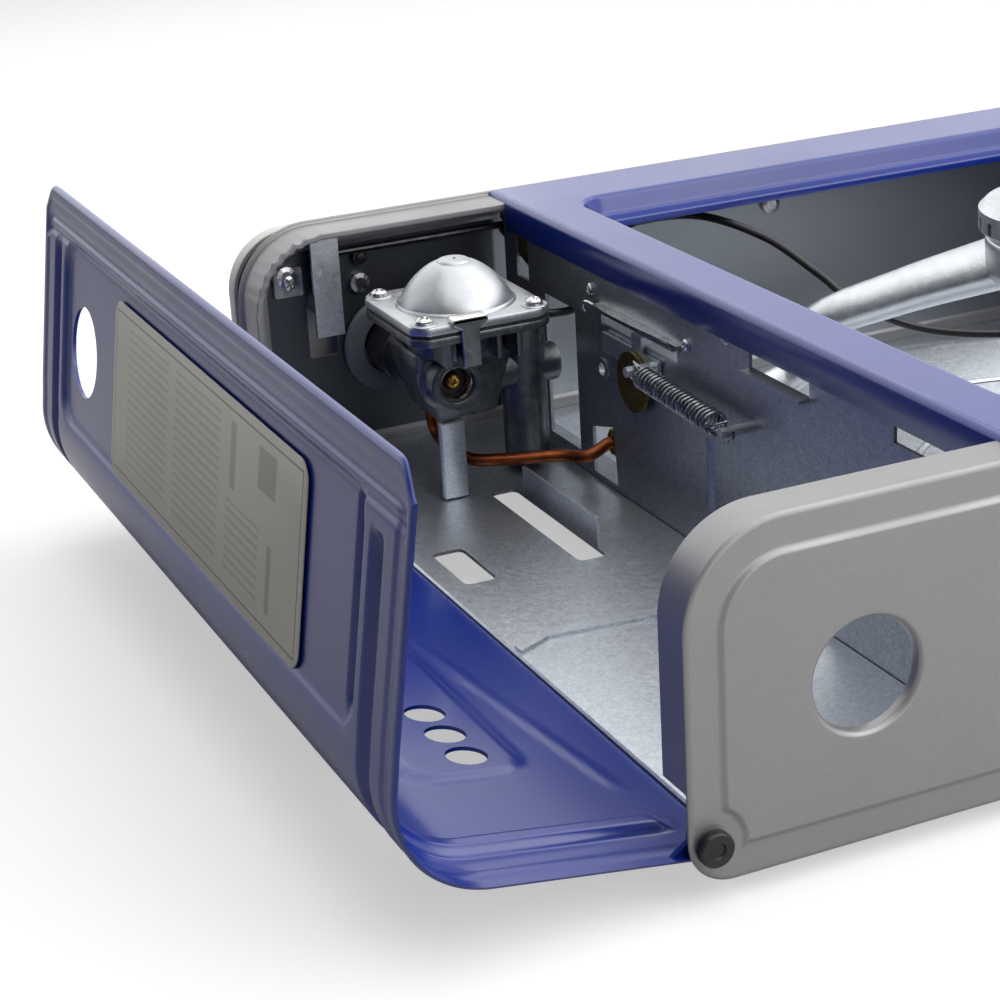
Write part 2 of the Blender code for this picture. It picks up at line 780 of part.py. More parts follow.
def make_partition():
    """Wall between the bay and the burner, flanged to the burner side."""
    face = partition_x
    back = face - sheet
    roof = body_height - sheet - seat_gap
    foot = pan_top + seat_gap
    outline = [(face, foot), (face, roof), (face - partition_flange, roof),
               (face - partition_flange, roof - sheet), (back, roof - sheet),
               (back, foot + sheet), (back - partition_foot, foot + sheet),
               (back - partition_foot, foot)]
    wall = solid("partition", prism(outline, -pan_half, pan_half, "y"), galvanised, 0.45, 0.85)
    lip = block((back + sheet / 2, slit_front, slit_high),
                (face + slit_lip, slit_back, slit_high + sheet))
    tongue = block((back + sheet / 2, window_front, window_low - sheet),
                   (face + slit_lip * 2, window_back, window_low))
    rib = rod(rib_radius, rib_low, rib_high, (face - rib_radius / 2, rib_place, 0), "z", 12)
    ring = rod(ring_radius, back + sheet / 2, face + sheet / 2, (0, ring_place, ring_height),
               "x", 16)
    stud = gathered(
        rod(stud_radius, back + sheet / 2, face + spring_from_wall + spring_radius,
            (0, spring_back, spring_back_height), "x", 12))
    join(wall, gathered(lip, tongue, rib, ring, stud), "pressings")
    low_x, high_x = face - partition_flange - overrun, face + overrun
    flange_under = body_height - flange_inset - hem_thickness - seat_gap
    through = [
        (slit_front, slit_back, slit_low, slit_high),
        (window_front, window_back, window_low, window_high),
        (rear_window_front, rear_window_back, window_low, window_high),
        (tall_hole_front, tall_hole_back, tall_hole_low, tall_hole_high),
        (small_hole_front, small_hole_back, small_hole_low, small_hole_high),
    ]
    near_x = back - overrun
    cutters = [block((near_x, front, low), (high_x + slit_lip * 2, rear, high))
               for front, rear, low, high in through]
    clip = pipe_hole_high - pipe_hole_low
    cutters.append(prism([(pipe_hole_front, pipe_hole_low), (pipe_hole_back, pipe_hole_low),
                          (pipe_hole_back - clip / 8, pipe_hole_high),
                          (pipe_hole_front, pipe_hole_high - clip / 5)],
                         near_x, high_x, "x"))
    rise = rear_hole_high - rear_hole_low
    cutters.append(prism([(rear_hole_front, rear_hole_low), (rear_hole_back, rear_hole_low),
                          (rear_hole_back, rear_hole_high),
                          (rear_hole_front + rise / 4, rear_hole_high),
                          (rear_hole_front, rear_hole_high - rise / 4)],
                         near_x, high_x, "x"))
    cutters.append(rod(ring_radius * 0.6, near_x, high_x, (0, ring_place, ring_height), "x", 16))
    for a, b in ((hem_end, pan_half + overrun), (-hem_end, -pan_half - overrun)):
        cutters.append(block((low_x, min(a, b), flange_under),
                             (high_x, max(a, b), body_height + overrun)))
    cutters.append(block((near_x, -pan_half - overrun, bar_notch_low),
                         (high_x, -pan_half + bar_notch_width, flange_under + overrun / 2)))
    cut(wall, gathered(*cutters[:-1]), "windows")
    cut(wall, cutters[-1], "bar_notch")


def make_feet():
    top = pan_lift - seat_gap
    places = {
        "foot_front_left": (-1, -1), "foot_front_right": (1, -1),
        "foot_back_left": (-1, 1), "foot_back_right": (1, 1),
    }
    for name, (across, along) in places.items():
        x = across * (right_side - foot_place_x)
        y = along * (back_face - foot_place_y)
        profile = [(foot_toe, -foot_height), (foot_radius, -foot_height + sheet), (foot_radius, 0),
                   (foot_toe, top)]
        solid(name, lathe(profile, 20, (x, y, 0), "z"), rubber, 0.8)


# Lid

def lid_profile():
    """Outer line of the closed lid from its lower edge to its top edge: (x, z, normal)."""
    side = right_side
    low = pin_height - lid_reach
    crease = pin_height + pin_inset + lid_border
    path = [(side, z, (1, 0), kind) for z, kind in (
        (low, 0), (pin_height, 0), (notch_height, 0), (crease, 0), (crease + lid_slope, 1),
        (lid_corner_z - lid_slope, 1))]
    for k in range(corner_steps + 1):
        turn = k / corner_steps * math.pi / 2
        path.append((lid_corner_x + corner_radius * math.cos(turn),
                     lid_corner_z + corner_radius * math.sin(turn),
                     (math.cos(turn), math.sin(turn)), 0))
    edge = lid_edge_x
    for x, kind in ((lid_corner_x - lid_slope, 1), (edge + lid_border + lid_slope, 1),
                    (edge + lid_border, 0), (edge + lid_border / 2, 0), (edge, 0)):
        path.append((x, lid_top, (0, 1), kind))
    return path


def lid_stations():
    """Places along Y with the share of the field's recess and of the end groove there."""
    groove_end = hem_end - side_clearance
    groove_start = groove_end - lid_groove
    field = groove_start - lid_slope
    half = [(plate_half, 0, 0), (groove_end, 0, 0), (groove_end - lid_slope, 0, 1),
            (groove_start + lid_slope, 0, 1), (groove_start, 0, 0), (field, 0, 0),
            (field - lid_slope, 1, 0), (field / 3, 1, 0)]
    return [(-y, a, b) for y, a, b in half] + [(y, a, b) for y, a, b in reversed(half)]


def make_lid():
    outer, inner = [], []
    for x, z, (nx, nz), kind in lid_profile():
        row_out, row_in = [], []
        grooved = z > crease_height and x > lid_edge_x + lid_border - lid_slope
        for y, field_share, groove_share in lid_stations():
            depth = lid_recess * max(kind * field_share, groove_share if grooved else 0)
            for row, wall in ((row_out, 0), (row_in, sheet)):
                away = depth + wall
                row.append((x - nx * away - pin_x, y, z - nz * away - pin_height))
        outer.append(row_out)
        inner.append(row_in)
    lid = solid("lid", shell(outer, inner), blue_paint, 0.3, 0.0, lid_axis)
    ears = []
    for side in (-1, 1):
        face = side * (pan_half - pin_collar - running_gap)
        near = face - side * ear_thickness
        reach = pin_inset - sheet / 2
        outline = [(reach, ear_height - pin_height), (reach, -ear_radius)]
        outline += [(ear_radius * math.cos(a), ear_radius * math.sin(a))
                    for a in [math.radians(270 - 20 * k) for k in range(8)]]
        outline.append((0, ear_height - pin_height - ear_radius))
        ears.append(prism(outline, min(face, near), max(face, near), "y"))
    join(lid, gathered(*ears), "ears")
    top_low = lid_top - pin_height - overrun
    holes = [rod(lid_hole_radius, top_low, top_low + 2 * overrun,
                 (lid_edge_x + hole_from_edge - pin_x, lid_hole_place, 0), "z", 32)]
    holes += [rod(vent_radius, pin_inset - 2 * overrun, pin_inset + overrun,
                  (0, vent_place + k * vent_pitch, vent_height - pin_height), "x", 16)
              for k in (-1, 0, 1)]
    holes += [rod(pin_radius + running_gap, -pan_half, -hem_end, (0, 0, 0), "y", 16),
              rod(pin_radius + running_gap, hem_end, pan_half, (0, 0, 0), "y", 16)]
    cut(lid, gathered(*holes), "holes")
    base = lid_top - lid_recess + seat_gap - pin_height
    middle = lid_edge_x + hole_from_edge - pin_x
    plate = prism(rounded(middle - label_width / 2, middle + label_width / 2,
                          label_place - label_length / 2, label_place + label_length / 2,
                          label_radius, label_radius, 4), base, base + label_thickness, "z")
    solid("lid_label", plate, label_cream, 0.5, 0.2, lid_axis)


def make_hinge_pins():
    """Black pins in the end panels' lower corners, each with a collar inside."""
    for name, side, head in (("hinge_pin_rear", 1, pin_head_radius),
                             ("hinge_pin_front", -1, pin_collar_radius - seat_gap)):
        face = back_face + seat_gap
        inside = pan_half - pin_collar - running_gap - ear_thickness - running_gap
        profile = [(pin_collar_radius, inside - pin_collar), (pin_collar_radius, inside),
                   (pin_radius, inside), (pin_radius, face), (head, face),
                   (head, face + pin_head - rim_round), (head - rim_round, face + pin_head)]
        shape = lathe([(r, side * y) for r, y in profile], 20, (pin_x, 0, pin_height), "y")
        solid(name, shape, black_plastic, 0.5)


# Burner

def ellipse(centre, across, along, wide, tall, steps=16):
    """An ellipse round a point of a path, across one axis and along another."""
    ring = []
    for k in range(steps):
        turn = 2 * math.pi * k / steps
        spot = centre + across * (wide * math.cos(turn)) + along * (tall * math.sin(turn))
        ring.append(tuple(spot))
    return ring


def make_burner():
    mouth_x = partition_x - sheet - seat_gap - jet_length - jet_tip
    route = [
        (mouth_x + jet_tip / 2, jet_place, jet_height),
        (mouth_x - jet_length, jet_place, jet_height + sheet),
        (burner_x + shield_radius - shield_base, jet_place + jet_length / 2, jet_height * 1.6),
        (burner_x + burner_radius * 2.2, jet_place * 0.76, bowl_bottom * 0.83),
        (burner_x + burner_radius * 1.4, jet_place * 0.55, bowl_bottom),
        (burner_x + burner_radius * 0.5, jet_place * 0.3, bowl_bottom + jet_radius * 2),
    ]
    wide_share = (1.35, 0.95, 0.9, 1.15, 1.75, 2.2)
    tall_share = (1.35, 0.95, 0.9, 1.0, 1.1, 1.3)
    base = neck_radius
    spots = [Vector(p) for p in route]
    rings = []
    for k, spot in enumerate(spots):
        ahead = spots[min(k + 1, len(spots) - 1)] - spots[max(k - 1, 0)]
        across = ahead.cross(Vector((0, 0, 1))).normalized()
        along = across.cross(ahead).normalized()
        rings.append(ellipse(spot, across, along, base * wide_share[k] * 0.72,
                             base * tall_share[k] * 0.72))
    bowl = solid("burner_body", lathe(
        [(0, bowl_bottom), (bowl_neck, bowl_bottom), (burner_radius * 0.92, bowl_bottom + bowl_neck / 2),
         (burner_radius, bowl_top - rim_width), (burner_radius, bowl_top), (0, bowl_top)],
        32, (burner_x, 0, 0), "z"), cast_aluminium, 0.35, 1.0)
    join(bowl, loft(rings), "mixing_tube")
    cut(bowl, rod(jet_radius * 0.85, mouth_x - jet_length, mouth_x + jet_length,
                  (0, jet_place, jet_height), "x", 12), "mouth")
    low = bowl_top + seat_gap
    cap = solid("burner_cap", lathe(
        [(0, low), (cap_radius - rim_width, low), (cap_radius, low + rim_width),
         (cap_radius, cap_top - rim_width), (cap_radius - rim_width, cap_top),
         (cap_radius / 2, cap_top), (cap_radius / 3, cap_top - rim_width), (0, cap_top - rim_width)],
        48, (burner_x, 0, 0), "z"), cast_aluminium, 0.4, 0.9)
    slots = []
    for k in range(cap_slots):
        turn = 2 * math.pi * (k + 0.5) / cap_slots
        ahead = Vector((math.cos(turn), math.sin(turn), 0))
        across = Vector((-ahead.y, ahead.x, 0)) * (cap_slot_width / 2)
        near, far = ahead * (cap_radius - cap_slot_depth), ahead * (cap_radius + overrun)
        outline = [(burner_x + p.x, p.y) for p in
                   (near - across, far - across, far + across, near + across)]
        slots.append(prism(outline, cap_slot_low, cap_slot_high, "z"))
    cut(cap, gathered(*slots), "flame_slots")


def make_heat_shield():
    low = pan_top + seat_gap
    high = low + shield_height
    profile = [(shield_bore, low), (shield_base, low), (shield_radius, high),
               (shield_radius + shield_lip, high), (shield_radius + shield_lip, high + sheet),
               (shield_radius - sheet / 2, high + sheet), (shield_base - sheet / 2, low + sheet),
               (shield_bore, low + sheet)]
    solid("heat_shield", lathe(profile, 48, (burner_x, 0, 0), "z", True), galvanised, 0.25, 0.95)


def make_burner_bracket():
    low = pan_top + seat_gap
    high = bowl_bottom - seat_gap
    foot = bracket_foot / 2
    outline = [(burner_x - foot, low), (burner_x + foot, low), (burner_x + foot, low + bracket_sheet),
               (burner_x + bracket_sheet / 2, low + bracket_sheet),
               (burner_x + bracket_sheet / 2, high - bracket_sheet),
               (burner_x + foot, high - bracket_sheet), (burner_x + foot, high),
               (burner_x - foot, high), (burner_x - foot, high - bracket_sheet),
               (burner_x - bracket_sheet / 2, high - bracket_sheet),
               (burner_x - bracket_sheet / 2, low + bracket_sheet),
               (burner_x - foot, low + bracket_sheet)]
    half = bracket_width / 2
    solid("burner_bracket", prism(outline, -half, half, "y"), galvanised, 0.45, 0.9)


def make_jet():
    face = partition_x - sheet - seat_gap
    profile = [(0, face), (jet_radius, face), (jet_radius, face - jet_length),
               (jet_tip_radius, face - jet_length), (jet_tip_radius, face - jet_length - jet_tip),
               (0, face - jet_length - jet_tip)]
    solid("jet_holder", lathe(profile, 6, (0, jet_place, jet_height), "x"), brass, 0.35, 1.0)


# Regulator

def chamfered(x, y, side, chamfer):
    half = side / 2
    near = half - chamfer
    corners = ((half, near), (near, half), (-near, half), (-half, near),
               (-half, -near), (-near, -half), (near, -half), (half, -near))
    return [(x + a, y + b) for a, b in corners]


def make_regulator():
    plate = chamfered(dome_x, dome_place, flange_side, flange_chamfer)
    body = solid("regulator_body", prism(plate, flange_low, gasket_low, "z"), zinc_cast, 0.4, 0.9)
    mid_x = dome_x
    top_half, base_half = block_top_width / 2, block_base_width / 2
    core = prism([(mid_x - base_half, block_low), (mid_x + base_half, block_low),
                  (mid_x + top_half, block_high - flange_chamfer), (mid_x + top_half, block_high),
                  (mid_x - top_half, block_high), (mid_x - top_half, block_high - flange_chamfer)],
                 block_front, block_back, "y")
    bowl = rod(bowl_radius, block_high - overrun, flange_low + sheet, (dome_x, dome_place, 0), "z", 24)
    inlet = rod(inlet_radius, block_back - overrun, inlet_face, (cartridge_x, 0, cartridge_height),
                "y", 24)
    column = rod(column_radius, column_low, column_high, (column_x, column_place, 0), "z", 20)
    elbow = rod(elbow_radius, elbow_end, mid_x, (0, column_place, elbow_height), "x", 20)
    neck = rod(neck_radius, igniter_end + seat_gap, block_front + overrun,
               (knob_x, 0, knob_height), "y", 20)
    outlet_y = (igniter_end + block_front) / 2
    outlet = rod(nut_radius, knob_height - neck_radius * 1.6, knob_height, (knob_x, outlet_y, 0),
                 "z", 16)
    for name, shape in (("core", core), ("bowl", bowl), ("inlet", inlet), ("column", column),
                        ("elbow", elbow), ("neck", neck), ("outlet", outlet)):
        join(body, shape, name)
    cut(body, rod(inlet_bore, inlet_face - inlet_depth, inlet_face + overrun,
                  (cartridge_x, 0, cartridge_height), "y", 20), "inlet_bore")

    solid("regulator_gasket", prism(chamfered(dome_x, dome_place, flange_side - sheet, flange_chamfer),
                                    gasket_low + gap_thin, cover_low - gap_thin, "z"), rubber, 0.8)
    rise = dome_top - cover_high
    arc = [(dome_flat + (dome_radius - dome_flat) * math.cos(a), cover_high + (rise - sheet) * math.sin(a))
           for a in [math.radians(15 * k) for k in range(1, 7)]]
    cover = solid("regulator_cover", prism(chamfered(dome_x, dome_place, flange_side, flange_chamfer),
                                           cover_low, cover_high, "z"), zinc_cast, 0.35, 0.9)
    dome = lathe([(0, cover_low + sheet), (dome_radius + sheet, cover_low + sheet),
                  (dome_radius + sheet, cover_high), *arc, (dome_flat, dome_top), (0, dome_top)],
                 28, (dome_x, dome_place, 0), "z")
    join(cover, dome, "dome")
    reach = flange_side / 2 - cover_screw_inset
    low = cover_high + seat_gap
    for k, (a, b) in enumerate(((1, 1), (-1, 1), (-1, -1), (1, -1))):
        shape = lathe([(cover_screw_radius, low), (cover_screw_radius, low + sheet),
                       (cover_screw_radius * 0.6, low + cover_screw_height),
                       (0, low + cover_screw_height)], 14,
                      (dome_x + a * reach, dome_place + b * reach, 0), "z")
        solid("cover_screw_" + "abcd"[k], shape, steel, 0.25, 1.0)


def make_regulator_trim():
    """Brass nozzle and rubber seal in the inlet, the guide tab and the steel post."""
    floor = inlet_face - inlet_depth + seat_gap
    centre = (cartridge_x, 0, cartridge_height)
    solid("inlet_seal", lathe([(nozzle_radius + seat_gap, floor), (seal_radius, floor),
                               (seal_radius, floor + rim_width),
                               (nozzle_radius + seat_gap, floor + rim_width)],
                              20, centre, "y", True), rubber, 0.7)
    tip = inlet_face - rim_width
    solid("inlet_nozzle", lathe([(0, floor), (nozzle_radius, floor), (nozzle_radius, tip),
                                 (nozzle_bore, tip), (nozzle_bore, tip - rim_width),
                                 (0, tip - rim_width)], 16, centre, "y"), brass, 0.35, 1.0)
    half = guide_width / 2
    low, high = flange_low, cover_high
    front = guide_place
    outline = [(cartridge_x - half, high), (cartridge_x - half, high + guide_sheet),
               (cartridge_x + half, high + guide_sheet), (cartridge_x + half, high),
               (cartridge_x + half / 2, high - rim_width), (cartridge_x + half / 2, block_high),
               (cartridge_x - half / 2, block_high), (cartridge_x - half / 2, high - rim_width)]
    solid("cartridge_guide", prism(outline, front, front + guide_sheet, "y"), steel, 0.3, 1.0)
    solid("regulator_post", block((cartridge_x - post_width / 2, post_place, floor_top + seat_gap),
                                  (cartridge_x + post_width / 2, post_place + post_thickness,
                                   block_low - seat_gap)), galvanised, 0.4, 0.9)


def make_pipe():
    start_y = (igniter_end + block_front) / 2
    start_z = knob_height - neck_radius * 1.6 - seat_gap
    end_x = partition_x - sheet
    drop = pipe_hole_low + (pipe_hole_high - pipe_hole_low) / 2
    route = [
        (knob_x, start_y, start_z), (knob_x, start_y, start_z - pipe_radius * 2),
        (knob_x, start_y + pipe_radius * 3, drop), (knob_x, tall_hole_back, drop),
        (knob_x - neck_radius, dome_place + neck_radius, drop),
        (column_x, pipe_hole_front + inlet_bore, drop),
        (partition_x + inlet_radius, jet_place - seat_gap, drop + seat_gap),
        (end_x + pipe_radius, jet_place, jet_height), (end_x + seat_gap, jet_place, jet_height),
    ]
    wire("gas_pipe", smooth_route(route, 5), pipe_radius, copper, 0.3, 1.0)


# Knob and igniter

def make_knob():
    back = fascia_face - seat_gap
    centre = (0, 0, 0)
    reach = [(0, 0), (knob_radius, 0), (knob_radius, -rim_width), (knob_hub + rim_width, -rim_width * 2),
             (knob_hub, -knob_length + rim_width), (knob_hub - rim_width, -knob_length), (0, -knob_length)]
    profile = [(r, back + y - knob_axis_y) for r, y in reach]
    knob = solid("knob", lathe(profile, 40, centre, "y"), black_plastic, 0.45, 0.0, knob_axis)
    grip = prism(rounded(-knob_grip / 2, knob_grip / 2, -knob_hub + rim_width, knob_hub - rim_width,
                         knob_grip / 2, knob_grip / 2, 4),
                 back - knob_length - rim_width - knob_axis_y, back - knob_length / 2 - knob_axis_y, "y")
    join(knob, grip, "grip")
    start, end = back + seat_gap - knob_axis_y, igniter_end - overrun * 2 - knob_axis_y
    solid("knob_spindle", rod(spindle_radius, start, end, centre, "y", 16), steel, 0.35, 1.0, knob_axis)


def make_igniter():
    face = -panel_field_inner + bezel_thickness
    unit = solid("igniter_unit", rod(igniter_radius, face, igniter_end, (knob_x, 0, knob_height),
                                     "y", 28), black_plastic, 0.5)
    terminal = rod(nut_radius / 2, knob_height, knob_height + igniter_radius + rim_width * 2,
                   (knob_x - rim_width, (face + igniter_end) / 2, 0), "z", 12)
    join(unit, terminal, "terminal")
    cut(unit, rod(spindle_radius + running_gap, face - overrun, igniter_end - overrun * 2 + seat_gap,
                  (knob_x, 0, knob_height), "y", 16), "bore")
    low = -panel_field_inner + seat_gap
    solid("knob_bezel", lathe([(igniter_radius + seat_gap, low), (bezel_radius, low),
                               (bezel_radius, low + bezel_thickness),
                               (igniter_radius + seat_gap, low + bezel_thickness)],
                              32, (knob_x, 0, knob_height), "y", True), grey_plastic, 0.5)


def make_ignition_wire():
    """Insulated lead from the igniter, through the partition and round to the electrode."""
    face = -panel_field_inner + bezel_thickness
    start = Vector((knob_x - rim_width, (face + igniter_end) / 2,
                    knob_height + igniter_radius + rim_width * 2 + wire_radius))
    tip_x, tip_y = electrode_place()
    route = [start, start + Vector((0, 0, 3 * wire_radius))]
    route += [(a * right_side, b * back_face, c * body_height) for a, b, c in lead_shares]
    route += [(tip_x, tip_y, bowl_bottom - 4 * rim_width), (tip_x, tip_y, bowl_bottom - seat_gap)]
    wire("ignition_wire", smooth_route(route, 4), wire_radius, rubber, 0.5, 0.0)


def electrode_place():
    away = burner_radius + rim_width * 3
    return burner_x - away * math.cos(electrode_turn), -away * math.sin(electrode_turn)


def make_electrode():
    x, y = electrode_place()
    low = bowl_bottom
    ceramic = lathe([(0, low), (rim_width, low), (rim_width * 1.25, low + rim_width),
                     (rim_width * 1.25, bowl_top - rim_width), (spring_wire * 2, bowl_top),
                     (spring_wire * 2, bowl_top + rim_width * 2), (0, bowl_top + rim_width * 2)],
                    14, (x, y, 0), "z")
    probe = solid("ignition_electrode", ceramic, ceramic_white, 0.3)
    ahead = Vector((burner_x - x, -y, 0)).normalized()
    across = Vector((-ahead.y, ahead.x, 0)) * rim_width
    near = Vector((x, y, 0))
    far = near + ahead * (rim_width * 3 - seat_gap)
    clip_low = bowl_top - rim_width * 2.5
    outline = [(p.x, p.y) for p in (near - across, far - across, far + across, near + across)]
    join(probe, prism(outline, clip_low, clip_low + sheet, "z"), "clip")


# Lock lever, link and catch

def make_lever():
    """Black lever outside; plate, arm, strap and bar inside move up and down with it."""
    top_high, top_low = lever_tall / 2, lever_tall * 0.35
    face = fascia_face - seat_gap
    outline = [(face, -top_high), (face - lever_deep, -top_low),
               (face - lever_deep, top_low * 0.6), (face - lever_deep * 0.6, top_high),
               (face, top_high)]
    shape = prism(outline, -lever_width / 2, lever_width / 2, "x")
    lever = solid("lock_lever", shape, black_plastic, 0.45, 0.0, lever_axis)
    soft = lever.modifiers.new("edges", "BEVEL")
    soft.width = rim_round * 2
    soft.segments = 2
    soft.limit_method = "ANGLE"

    front = (fascia_face + fascia_wall - back_face) / 2
    middle = front + strap_sheet / 2
    arm = lever_tall / 4
    left, right = strap_left - lever_x, strap_right - lever_x
    tab_half = lever_width / 4 - running_gap * 2
    plate = solid("lever_plate", block((left, front, -arm - rim_width),
                                       (lever_width / 3, front + strap_sheet, arm + rim_width)),
                  galvanised, 0.4, 0.9, lever_axis)
    tab = block((-tab_half, face + seat_gap * 2, -arm), (tab_half, middle, arm))
    link = block((left, middle, -arm), (right, strap_place + strap_sheet / 2, arm))
    strap = block((left, strap_place, strap_low - lever_z),
                  (right, strap_place + strap_sheet, strap_high - lever_z))
    join(plate, tab, "tab")
    join(plate, link, "link")
    join(plate, strap, "strap")
    start = partition_x - sheet - seat_gap - crank_sheet - seat_gap * 2
    shape = rod(bar_radius, start - lever_x, strap_right - lever_x - bar_radius,
                (0, bar_place, bar_height - lever_z), "x", 12)
    solid("lever_bar", shape, steel, 0.3, 1.0, lever_axis)


def make_crank():
    """Bell crank on the burner side: the bar swings its fork, and its arm pulls the rod."""
    face = partition_x - sheet - seat_gap
    back = face - crank_sheet
    half = crank_width / 2
    tip = crank_arm + fork_reach
    slot = bar_radius + link_gap
    lean = -crank_swing / 2

    def turned(outline):
        return [(y * math.cos(lean) - z * math.sin(lean), y * math.sin(lean) + z * math.cos(lean))
                for y, z in outline]

    top = crank_up + slot + rim_width * 0.75
    outline = [(-tip, -half), (half, -half), (half, top - half), (half / 2, top),
               (-half / 2, top), (-half, top - half), (-half, half), (-tip, half)]
    crank = solid("bell_crank", prism(turned(outline), back, face, "x"), yellow_zinc, 0.35, 0.9,
                  parent=crank_axis)
    mouth = [(-tip - overrun, -slot), (slot - crank_arm - link_gap * 3, -slot),
             (slot - crank_arm, 0), (slot - crank_arm - link_gap * 3, slot), (-tip - overrun, slot)]
    low, high = crank_up * math.cos(lean) - slot, crank_up + slot
    eye = [(-slot, low + slot / 2), (-slot / 2, low), (slot / 2, low), (slot, low + slot / 2),
           (slot, high - slot / 2), (slot / 2, high), (-slot / 2, high), (-slot, high - slot / 2)]
    cut(crank, gathered(prism(turned(mouth), back - overrun, face + overrun, "x"),
                        prism(turned(eye), back - overrun, face + overrun, "x"),
                        rod(stud_radius + running_gap, back - overrun, face + overrun,
                            (0, 0, 0), "x", 16)), "slots")
    stud = lathe([(stud_radius, face), (stud_radius, back - running_gap),
                  (stud_radius * 1.8, back - running_gap),
                  (stud_radius * 1.8, back - running_gap - sheet)], 16,
                 (0, crank_pivot_y, crank_pivot_z), "x")
    solid("crank_stud", stud, steel, 0.3, 1.0)


def make_catch():
    """Slider on the partition: its tab passes the slit to the rod, its stud holds the spring."""
    face = partition_x + seat_gap
    plate = solid("catch_slider", block((face, catch_front, catch_low),
                                        (face + catch_sheet, catch_back, catch_high)),
                  galvanised, 0.35, 0.9, catch_axis)
    top = slit_high - sheet
    tongue = block((face, tongue_front, catch_high - sheet), (face + catch_sheet, tongue_back, top))
    back_x = partition_x - sheet - seat_gap - crank_sheet - catch_sheet
    tab = block((back_x, tongue_front, slit_low + sheet),
                (face + catch_sheet / 2, tongue_back, top))
    stud = rod(stud_radius, face + catch_sheet / 2, partition_x + spring_from_wall + spring_radius,
               (0, spring_front, spring_front_height), "x", 12)
    join(plate, tongue, "tongue")
    join(plate, tab, "tab")
    join(plate, stud, "stud")
    disc_low = face + catch_sheet + seat_gap
    solid("catch_disc", rod(disc_radius, disc_low, disc_low + disc_thickness,
                            (0, disc_place, disc_height), "x", 28), yellow_zinc, 0.35, 0.9, catch_axis)
    rod_x = back_x - seat_gap - bar_radius
    hook_y = crank_pivot_y + crank_up * math.sin(crank_swing / 2)
    hook_z = crank_pivot_z + crank_up * math.cos(crank_swing / 2)
    centre_x, centre_y = rod_x + rod_bend, hook_y + rod_bend
    bend = [(centre_x - rod_bend * math.sin(a), centre_y - rod_bend * math.cos(a), hook_z)
            for a in [math.radians(15 * k) for k in range(7)]]
    middle = (slit_low + slit_high) / 2
    along = smooth_route([(rod_x, centre_y + bar_radius, hook_z),
                          (rod_x, hook_y + crank_up, hook_z),
                          (rod_x, tongue_front - crank_up, hook_z - bar_radius),
                          (rod_x, tongue_front, middle + bar_radius),
                          (rod_x, tongue_back, middle)], 5)
    end_x = partition_x - sheet - seat_gap * 2
    wire("pull_rod", [(end_x, hook_y, hook_z), *bend, *along], bar_radius, steel, 0.3, 1.0, 2,
         catch_axis)


def spring_route():
    """Round hook, close coil and round hook, as one wire."""
    x = partition_x + spring_from_wall
    front = Vector((x, spring_front, spring_front_height))
    back = Vector((x, spring_back, spring_back_height))
    ahead = (back - front).normalized()
    lift = Vector((1, 0, 0)).cross(ahead)
    side = Vector((1, 0, 0))

    def hook(centre, sense):
        turns = [math.radians(60 + 28 * k) for k in range(11)]
        return [centre + ahead * (sense * spring_loop * math.cos(a)) + lift * (spring_loop * math.sin(a))
                for a in turns]

    start = front + ahead * (spring_loop + 3 * spring_wire * 2)
    end = back - ahead * (spring_loop + 3 * spring_wire * 2)
    length = (end - start).length
    steps = spring_turns * 10
    coil = []
    for k in range(steps + 1):
        share = k / steps
        turn = 2 * math.pi * spring_turns * share
        grow = min(1, 6 * share * spring_turns / 4, 6 * (1 - share) * spring_turns / 4)
        radius = spring_radius * max(0.3, grow)
        coil.append(start + ahead * (length * share) + lift * (radius * math.cos(turn))
                    + side * (radius * math.sin(turn)))
    return hook(front, 1) + coil + list(reversed(hook(back, -1)))


def make_spring():
    points = spring_route()
    least = min((points[a] - points[b]).length
                for a in range(len(points)) for b in range(a + 6, len(points)))
    print("spring: least gap to itself, mm:", round((least - 2 * spring_wire) / mm, 2))
    wire("catch_spring", points, spring_wire, steel, 0.25, 1.0, 1)


# The whole stove

for thing in list(bpy.data.objects):
    bpy.data.objects.remove(thing, do_unlink=True)

white = (0.8, 0.8, 0.8)
blue_paint = (0.024, 0.041, 0.275)
grey_paint = (0.27, 0.27, 0.28)
beige_paint = (0.42, 0.40, 0.37)
galvanised = (0.33, 0.35, 0.38)
zinc_cast = (0.42, 0.43, 0.45)
cast_aluminium = (0.55, 0.56, 0.58)
steel = (0.5, 0.5, 0.52)
brass = (0.55, 0.42, 0.16)
copper = (0.6, 0.25, 0.12)
yellow_zinc = (0.4, 0.33, 0.1)
rubber = (0.015, 0.015, 0.015)
black_plastic = (0.02, 0.02, 0.02)
grey_plastic = (0.2, 0.2, 0.21)
label_cream = (0.6, 0.6, 0.56)
ceramic_white = (0.75, 0.74, 0.7)

gap_thin = seat_gap / 10
electrode_turn = math.radians(20)
crease_height = pin_height + pin_inset
knob_axis_y = fascia_face
fascia_bosses = [(right_side - 2 * boss_inset, body_height - 2 * boss_inset - sheet / 2),
                 (right_side - 5 * boss_inset, body_height - 2.8 * boss_inset),
                 (-right_side / 9, body_height - 2.5 * boss_inset),
                 (-right_side + 2.5 * boss_inset, body_height - 2.8 * boss_inset)]

stove = empty("stove", (0, 0, 0))
lid_axis = empty("lid_axis", (pin_x, 0, pin_height), stove)
lid_axis.rotation_euler = (0, lid_open, 0)
knob_axis = empty("knob_axis", (knob_x, knob_axis_y, knob_height), stove)
lever_axis = empty("lever_axis", (lever_x, 0, lever_z), stove)
crank_axis = empty("crank_axis", (0, crank_pivot_y, crank_pivot_z), stove)
catch_axis = empty("catch_axis", (0, 0, 0), stove)

